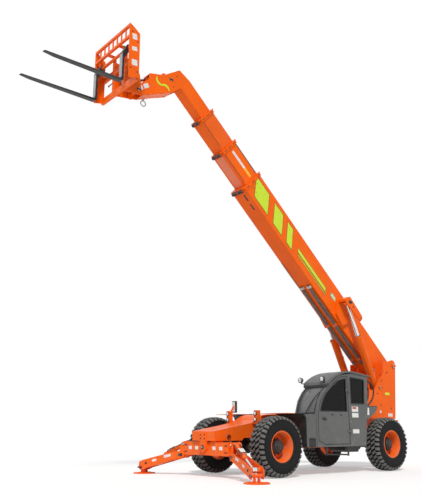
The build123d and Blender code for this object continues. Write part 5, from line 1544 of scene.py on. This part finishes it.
def make_door_trim():
    """The door's pane seal, its latch with a recess, its blank ovals and its pressed creases."""
    face, catch = CAB_OUTER - 0.002, CAB_FRONT + 0.305
    black = [slab(rectangle((catch - 0.085, catch + 0.085), (1.262, 1.330), 0.028, 5), face - 0.001,
                  face + 0.007, across, 0.003)]
    for y, z in ((CAB_FRONT + 0.60, 1.400), (CAB_FRONT + 0.92, 1.395)):
        oval = rectangle((y - 0.045, y + 0.045), (z - 0.016, z + 0.016), 0.016, 5)
        black.append(slab(oval, face, face + 0.008, across, 0.002))
    grip = ((0.004, -0.055, 1.297), (0.016, -0.035, 1.298), (0.016, 0.030, 1.298), (0.004, 0.055, 1.297))
    black.append(hose([(face + out, catch + d, z) for out, d, z in grip], 0.009, 10, 5))
    seal = surround(cab_line(DOOR_PANE), 0.009, 0.014, face - 0.024, face + 0.003, across)
    low, high = CAB_FRONT + 0.10, CAB_FRONT + 1.19
    creases = [[(low, z), (high, z), (high, z + 0.008), (low, z + 0.008)] for z in (1.338, 0.960)]
    creases = [slab(line, face, face + 0.0025, across, 0.001) for line in creases]
    lock = disc((face + 0.007, catch + 0.068, 1.315), (1, 0, 0), 0.010, 0.004, 16)
    piece("door_trim", "door",
          {"plastic": black, "hose": [seal], "grey_paint": creases, "steel": [lock]})


def make_cab():
    """The cab's outside: seals, pillar trim, visor, lamps, wiper, latch, plates and wing."""
    dressed("cab_shell", "grey_paint", 0.006)
    dressed("door", "grey_paint", 0.004)
    inner, outer = CAB_INNER, CAB_OUTER
    # The band round the door line is the door's seal, and its black also paints the shade in the door's
    # gap; the upright strip at the cab's front edge paints the shade in the joint there.
    seals = [surround(cab_line(QUARTER_PANE), 0.010, 0.016, outer - 0.026, outer + 0.003, across),
             surround(cab_line(INNER_PANE), 0.010, 0.014, inner - 0.003, inner + 0.026, across),
             surround(cab_line(DOOR_LINE), 0.009, 0.0050, outer - 0.055, outer + 0.003, across),
             box((outer - 0.003, outer + 0.003), (CAB_FRONT - 0.005, CAB_FRONT + 0.005),
                 (0.645, 1.300), 0.001)]
    screen, ends = screen_line(1.412, 2.100), (CAB_INNER + 0.062, CAB_OUTER - 0.072)
    for x in ends:
        seals.append(hose([(x, y + 0.004, z) for y, z in screen[::3]], 0.011, 8, 3))
    for y, z in (screen[0], screen[-1]):
        seals.append(hose([(x, y + 0.004, z) for x in (ends[0], 0.86, ends[1])], 0.011, 8, 3))
    rear = ((2.011, 1.665), (2.0165, 1.975), (2.022, 2.285))
    for x in (CAB_INNER + 0.072, CAB_OUTER - 0.082):
        seals.append(hose([(x, CAB_FRONT + d, z) for d, z in rear], 0.010, 8, 3))
    piece("cab_seals", "chassis", {"hose": seals})

    pipes = []
    for x, bulge in ((0.915, 0.0), (1.075, 0.024)):
        line = ((1.970, 1.600), (2.230, 1.690), (2.400, 1.840), (2.440 + bulge, 2.080 - bulge),
                (2.330, 2.250), (2.010, 2.332))
        pipes.append(hose([(x, CAB_FRONT + d, z) for d, z in line], 0.020, 10))
    piece("cab_pipes", "chassis", {"hose": pipes})
    make_cab_trim(screen)
    make_door_trim()
    pane = screen_line(1.421, 2.096)
    outline = np.vstack([pane + [0.0172, 0.0], (pane + [0.0178, 0.0])[::-1]])
    tint = slab(outline, CAB_INNER + 0.0605, CAB_OUTER - 0.0705, across, 0.00005)
    piece("screen_tint", "chassis", {"screen_glass": [tint]}, smooth=60.0)


def make_cab_inside():
    """Inside the cab: the steering column's finish, dash instruments, the console and its lever, and the
    seat's base.
    """
    dressed("steering_column", "plastic", 0.003)
    low = 0.690
    dash = cab_line([(0.050, low), (0.050, 1.280), (0.110, 1.330), ((0.200, 1.310), (0.240, 1.220)),
                     (0.160, low)])
    console = cab_line([(1.000, low), (0.960, 1.080), ((0.980, 1.120), (1.030, 1.140)), (1.500, 1.170),
                        (1.520, low)])
    inside = [slab(dash, CAB_INNER + 0.110, CAB_OUTER - 0.110, across, 0.008),
              slab(console, CAB_INNER + 0.050, 0.632, across, 0.008),
              bar((LEVER_X, CAB_FRONT + 1.060, 1.130), (LEVER_X, CAB_FRONT + 1.035, 1.270), 0.012)]
    piece("cab_controls", "chassis", {"plastic": inside})
    dressed("seat_base", "plastic", 0.004)
    x, y = SEAT_X, CAB_FRONT + 0.05
    pod = sampled([(y + 0.06, 1.325), (y + 0.05, 1.385), ((y + 0.10, 1.430), (y + 0.17, 1.405)),
                   (y + 0.19, 1.300), (y + 0.16, 1.300)], 6)
    plastic, steel, white = [slab(pod, x - 0.15, x + 0.15, across, 0.006)], [], []
    for number in range(3):
        centre, way = (x - 0.085 + 0.085 * number, y + 0.183, 1.358), (0, 0.97, 0.2)
        steel.append(collar(centre, way, [(0, 0.030), (0, 0.035), (0.008, 0.035), (0.008, 0.030)], 24))
        white.append(disc(centre, way, 0.030, 0.004, 24))
    y = CAB_FRONT
    for step in np.arange(5) * 0.07:
        vent = (y + 1.10 + step, y + 1.145 + step)
        plastic.append(box((0.556, 0.624), vent, (1.150, 1.168), 0.003, 0.006))
    plastic.append(lathe([(0, 0.040), (0.03, 0.034), (0.055, 0.018), (0.06, 0.012)],
                         (LEVER_X, y + 1.055, 1.145), (0, -0.1, 1), 20))
    plastic.append(lathe([(0, 0.020), (0.02, 0.027), (0.055, 0.030), (0.095, 0.028), (0.11, 0.016),
                          (0.112, 0.006)], (LEVER_X, y + 1.045, 1.235), (0, -0.18, 1), 24))
    for d in (-0.11, 0.11):
        width = (x + d - 0.035, x + d + 0.035)
        plastic.append(box(width, (y + 0.33, y + 0.345), (0.76, 0.88), 0.003, 0.008))
    plastic.append(box((x + 0.265 - 0.028, x + 0.265 + 0.028), (y + 1.20, y + 1.52), (1.19, 1.235),
                       0.010, 0.020))
    steel += [bar((x + d, y + 1.735, 1.600), (x + d, y + 1.750, 1.760), 0.007) for d in (-0.05, 0.05)]
    piece("cab_fittings", "chassis", {"plastic": plastic, "steel": steel, "plate_white": white})


# ---------------------------------------------------------------- seat
def pad_outline(angle, pull):
    """A pad's outline R(a): a superellipse pulled in by pull times cos^2 of twice the angle."""
    reach = (np.abs(np.cos(angle)) ** 5 + np.abs(np.sin(angle)) ** 5) ** (-1 / 5)
    return reach * (1 - pull * np.cos(2 * angle) ** 2)


def pad_form(half_u, half_v, half_w, pull, channels):
    """A crowned pad: rings of its outline R(a) shrunk by r and raised by h (1 - r^4)^0.55.

    Sewn channels sink the top by 0.010 times exp(-((u - c)/w)^2)."""
    angle, tilt = angles(72), np.linspace(0.02, np.pi - 0.02, 26)
    reach = pad_outline(angle, pull)
    r, top = np.sin(tilt)[:, None], (tilt < np.pi / 2)[:, None]
    u = half_u * r * (reach * np.cos(angle))[None]
    v = half_v * r * (reach * np.sin(angle))[None]
    w = half_w * (1 - r**4) ** 0.55 * np.where(top, 1.0, -1.0) + 0 * u
    sink = np.zeros_like(u)
    for centre, axis in channels:
        along = u if axis == "u" else v
        sink += 0.010 * np.exp(-(((along - centre) / 0.009) ** 2))
    return np.stack([u, v, np.where(top, w - sink * (1 - r**8), w)], -1)


def make_seat():
    """The seat: three crowned pads with sewn channels and piping, standing in the CAD seat's place."""
    front, rear, base = CAB_FRONT + 1.030, CAB_FRONT + 1.590, 0.960

    def placed(rings, origin, turn):
        """Pad coordinates (across, back, up) turned about X and moved to their place."""
        cos, sin = math.cos(turn), math.sin(turn)
        u, v, w = rings[..., 0], rings[..., 1], rings[..., 2]
        return np.stack([u, v * cos - w * sin, v * sin + w * cos], -1) + origin

    def piping(half_u, half_v, pull, radius=0.006):
        """A cord of piping round a pad's widest line."""
        line = circle(72, *np.eye(3)[:2]) * pad_outline(angles(72), pull)[:, None]
        line = line * [half_u, half_v, 0.0]
        out = line / np.linalg.norm(line, axis=1)[:, None]
        return line[:, None] + radius * circle(8, out, np.eye(3)[2])

    pads = (  # name, half sizes, pull, place of the middle, turn in degrees, channels
        ("seat_cushion", 0.226, 0.272, 0.066, 0.045, ((front + rear) / 2, base + 0.069), 1.5,
         [(-0.13, "u"), (0.13, "u"), (-0.06, "v"), (0.08, "v")]),
        ("seat_back", 0.212, 0.300, 0.054, 0.060, (rear + 0.085, base + 0.415), 75.5,
         [(-0.12, "u"), (0.12, "u"), (-0.10, "v"), (0.03, "v"), (0.15, "v")]),
        ("seat_headrest", 0.118, 0.092, 0.036, 0.070, (rear + 0.158, base + 0.818), 82.0, [(0.0, "v")]),
    )
    for name, half_u, half_v, half_w, pull, middle, degrees, channels in pads:
        origin, turn = (SEAT_X, *middle), math.radians(degrees)
        parts = [skin(placed(pad_form(half_u, half_v, half_w, pull, channels), origin, turn)),
                 skin(placed(piping(half_u, half_v, pull), origin, turn), closed=True)]
        made = piece(name, "chassis", {"seat_cloth": parts}, ("seat",), 60.0)


# ---------------------------------------------------------------- stage
CAMERA = (12.287, -10.963, 1.090)
CAMERA_TURN, CAMERA_PITCH = 50.985, 15.305
FLOOR_HALF, FLOOR_GLOW, GLOW_SHARE = 90.0, 1.6, 0.22
SUNS = (  # name, place, power, angle, tint
    ("sun_key", (9.5, -7.5, 13.0), 2.45, 10.0, (1.0, 0.97, 0.93)),
    ("sun_fill", (-10.0, -8.0, 7.0), 0.30, 40.0, (0.93, 0.96, 1.0)),
)


def seen_directly(tree):
    """A value that is 1 for camera, glossy and transmission rays and 0 for the rest."""
    path = add_node(tree, "LightPath")
    total = path["Is Camera Ray"]
    for name in ("Is Glossy Ray", "Is Transmission Ray"):
        total = add_node(tree, "Math", {0: total, 1: path[name]}, operation="MAXIMUM")[0]
    return total


def make_stage():
    """The camera, the floor, the pale world and two soft lamps."""
    scene = bpy.context.scene
    scene.view_settings.view_transform = "Standard"
    camera = placed_object("camera", bpy.data.cameras.new("camera"))
    camera.location = (CAMERA[0], CAMERA[1] + AXLE_Y, CAMERA[2])
    camera.rotation_euler = (math.radians(90 + CAMERA_PITCH), 0.0, math.radians(CAMERA_TURN))
    camera.data.lens = sizes().lens
    camera.data.sensor_width = 36.0
    camera.data.clip_end = 500.0
    scene.camera = camera

    world = bpy.data.worlds.new("world")
    world.use_nodes = True
    scene.world = world
    tree = world.node_tree
    light = tree.nodes["Background"]
    light.inputs["Color"].default_value = (0.90, 0.95, 1.0, 1.0)
    light.inputs["Strength"].default_value = 0.30
    white = add_node(tree, "Background", {}, {"Color": (1.0, 1.0, 1.0, 1.0), "Strength": 1.0})
    mixed = add_node(tree, "MixShader", {0: seen_directly(tree), 1: light.outputs[0], 2: white[0]})
    tree.links.new(mixed[0], tree.nodes["World Output"].inputs["Surface"])

    mesh = bpy.data.meshes.new("floor")
    corners = np.array([(-1, -1, 0), (1, -1, 0), (1, 1, 0), (-1, 1, 0)], float) * FLOOR_HALF
    mesh.from_pydata(corners.tolist(), [], [(0, 1, 2, 3)])
    floor = placed_object("floor", mesh)
    floor.location = (0.0, 0.0, -0.002)
    finish = bpy.data.materials.new("floor")
    finish.use_nodes = True
    tree = finish.node_tree
    shader = tree.nodes["Principled BSDF"]
    shader.inputs["Base Color"].default_value = (*colours().floor, 1.0)
    shader.inputs["Roughness"].default_value = 0.9
    glow = add_node(tree, "Emission", {}, {"Strength": FLOOR_GLOW})
    part = add_node(tree, "Math", {0: seen_directly(tree)}, {1: GLOW_SHARE}, operation="MULTIPLY")
    mixed = add_node(tree, "MixShader", {0: part[0], 1: shader.outputs[0], 2: glow[0]})
    tree.links.new(mixed[0], tree.nodes["Material Output"].inputs["Surface"])
    mesh.materials.append(finish)

    for name, place, power, angle, tint in SUNS:
        lamp = bpy.data.lights.new(name, "SUN")
        lamp.energy = power
        lamp.angle = math.radians(angle)
        lamp.color = tint
        placed_object(name, lamp).rotation_euler = Vector(place).to_track_quat("Z", "Y").to_euler()


# ---------------------------------------------------------------- operators
class HANDLER_OT_finishes(bpy.types.Operator):
    """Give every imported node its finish"""

    bl_idname = "handler.finishes"
    bl_label = "Finishes"

    def execute(self, context):
        finish_nodes()
        return {"FINISHED"}


class HANDLER_OT_wheels(bpy.types.Operator):
    """Make the tyres with their tread, and the dished wheels"""

    bl_idname = "handler.wheels"
    bl_label = "Wheels"

    def execute(self, context):
        make_wheels()
        return {"FINISHED"}


class HANDLER_OT_boom_main(bpy.types.Operator):
    """Finish the boom's main section, its hoses, stripes and collar"""

    bl_idname = "handler.boom_main"
    bl_label = "Main boom section"

    def execute(self, context):
        make_boom_main()
        return {"FINISHED"}


class HANDLER_OT_boom_inner(bpy.types.Operator):
    """Finish the second and third sections"""

    bl_idname = "handler.boom_inner"
    bl_label = "Inner boom sections"

    def execute(self, context):
        make_boom_inner()
        return {"FINISHED"}


class HANDLER_OT_head(bpy.types.Operator):
    """Finish the head at the boom's tip"""

    bl_idname = "handler.head"
    bl_label = "Gooseneck head"

    def execute(self, context):
        make_head()
        return {"FINISHED"}


class HANDLER_OT_carriage(bpy.types.Operator):
    """Finish the fork carriage and its cylinder"""

    bl_idname = "handler.carriage"
    bl_label = "Fork carriage"

    def execute(self, context):
        make_carriage()
        return {"FINISHED"}


class HANDLER_OT_forks(bpy.types.Operator):
    """Make the two forks"""

    bl_idname = "handler.forks"
    bl_label = "Forks"

    def execute(self, context):
        make_forks()
        return {"FINISHED"}


class HANDLER_OT_lift(bpy.types.Operator):
    """Finish the lift cylinders"""

    bl_idname = "handler.lift"
    bl_label = "Lift cylinders"

    def execute(self, context):
        make_lift()
        return {"FINISHED"}


class HANDLER_OT_tower(bpy.types.Operator):
    """Finish the frame, its tower and the counterweight"""

    bl_idname = "handler.tower"
    bl_label = "Frame and tower"

    def execute(self, context):
        make_tower()
        return {"FINISHED"}


class HANDLER_OT_outriggers(bpy.types.Operator):
    """Finish the outriggers' arms, cylinders and foot plates"""

    bl_idname = "handler.outriggers"
    bl_label = "Outriggers"

    def execute(self, context):
        make_outriggers()
        return {"FINISHED"}


class HANDLER_OT_nose(bpy.types.Operator):
    """Finish the crossbeam, the nose and the lamp posts"""

    bl_idname = "handler.nose"
    bl_label = "Nose"

    def execute(self, context):
        make_nose()
        return {"FINISHED"}


class HANDLER_OT_bodywork(bpy.types.Operator):
    """Make the fenders, steps, hood fittings and rear fittings"""

    bl_idname = "handler.bodywork"
    bl_label = "Bodywork"

    def execute(self, context):
        make_bodywork()
        return {"FINISHED"}


class HANDLER_OT_cab(bpy.types.Operator):
    """Finish the cab's outside"""

    bl_idname = "handler.cab"
    bl_label = "Cab"

    def execute(self, context):
        make_cab()
        return {"FINISHED"}


class HANDLER_OT_roof(bpy.types.Operator):
    """Make the cab's crowned roof"""

    bl_idname = "handler.roof"
    bl_label = "Cab roof"

    def execute(self, context):
        make_roof()
        return {"FINISHED"}


class HANDLER_OT_cab_inside(bpy.types.Operator):
    """Finish the dashboard, console and seat base"""

    bl_idname = "handler.cab_inside"
    bl_label = "Cab inside"

    def execute(self, context):
        make_cab_inside()
        return {"FINISHED"}


class HANDLER_OT_seat(bpy.types.Operator):
    """Make the padded seat"""

    bl_idname = "handler.seat"
    bl_label = "Seat"

    def execute(self, context):
        make_seat()
        return {"FINISHED"}


class HANDLER_OT_stage(bpy.types.Operator):
    """Set up the white studio, its lamps and the camera"""

    bl_idname = "handler.stage"
    bl_label = "Stage"

    def execute(self, context):
        make_stage()
        return {"FINISHED"}


OPERATORS = (
    HANDLER_OT_finishes, HANDLER_OT_wheels, HANDLER_OT_boom_main, HANDLER_OT_boom_inner,
    HANDLER_OT_head, HANDLER_OT_carriage, HANDLER_OT_forks, HANDLER_OT_lift, HANDLER_OT_tower,
    HANDLER_OT_outriggers, HANDLER_OT_nose, HANDLER_OT_bodywork, HANDLER_OT_cab, HANDLER_OT_roof,
    HANDLER_OT_cab_inside, HANDLER_OT_seat, HANDLER_OT_stage,
)


class HANDLER_PT_panel(bpy.types.Panel):
    """The handler's settings and steps, in the sidebar of the 3D view."""

    bl_idname = "HANDLER_PT_panel"
    bl_label = "Telescopic handler"
    bl_space_type = "VIEW_3D"
    bl_region_type = "UI"
    bl_category = "Handler"

    def draw(self, context):
        """Lists the settings, then the operators in the order that main() runs them."""
        column = self.layout.column()
        for group in (context.scene.handler_sizes, context.scene.handler_colours):
            for name in group.bl_rna.properties.keys():
                if name not in ("rna_type", "name"):
                    column.prop(group, name)
        for kind in OPERATORS:
            column.operator(kind.bl_idname)


CLASSES = (HandlerSizes, HandlerColours, *OPERATORS, HANDLER_PT_panel)


def register():
    """Registers the classes and hangs the settings on the scene."""
    for kind in CLASSES:
        bpy.utils.register_class(kind)
    bpy.types.Scene.handler_sizes = bpy.props.PointerProperty(type=HandlerSizes)
    bpy.types.Scene.handler_colours = bpy.props.PointerProperty(type=HandlerColours)


def unregister():
    """Takes them away again."""
    del bpy.types.Scene.handler_colours
    del bpy.types.Scene.handler_sizes
    for kind in reversed(CLASSES):
        bpy.utils.unregister_class(kind)


def main():
    """Registers the add-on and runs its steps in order."""
    register()
    for kind in OPERATORS:
        group, name = kind.bl_idname.split(".")
        if getattr(getattr(bpy.ops, group), name)() != {"FINISHED"}:
            raise RuntimeError(f"{kind.bl_label} didn't finish")


if __name__ == "__main__":
    main()
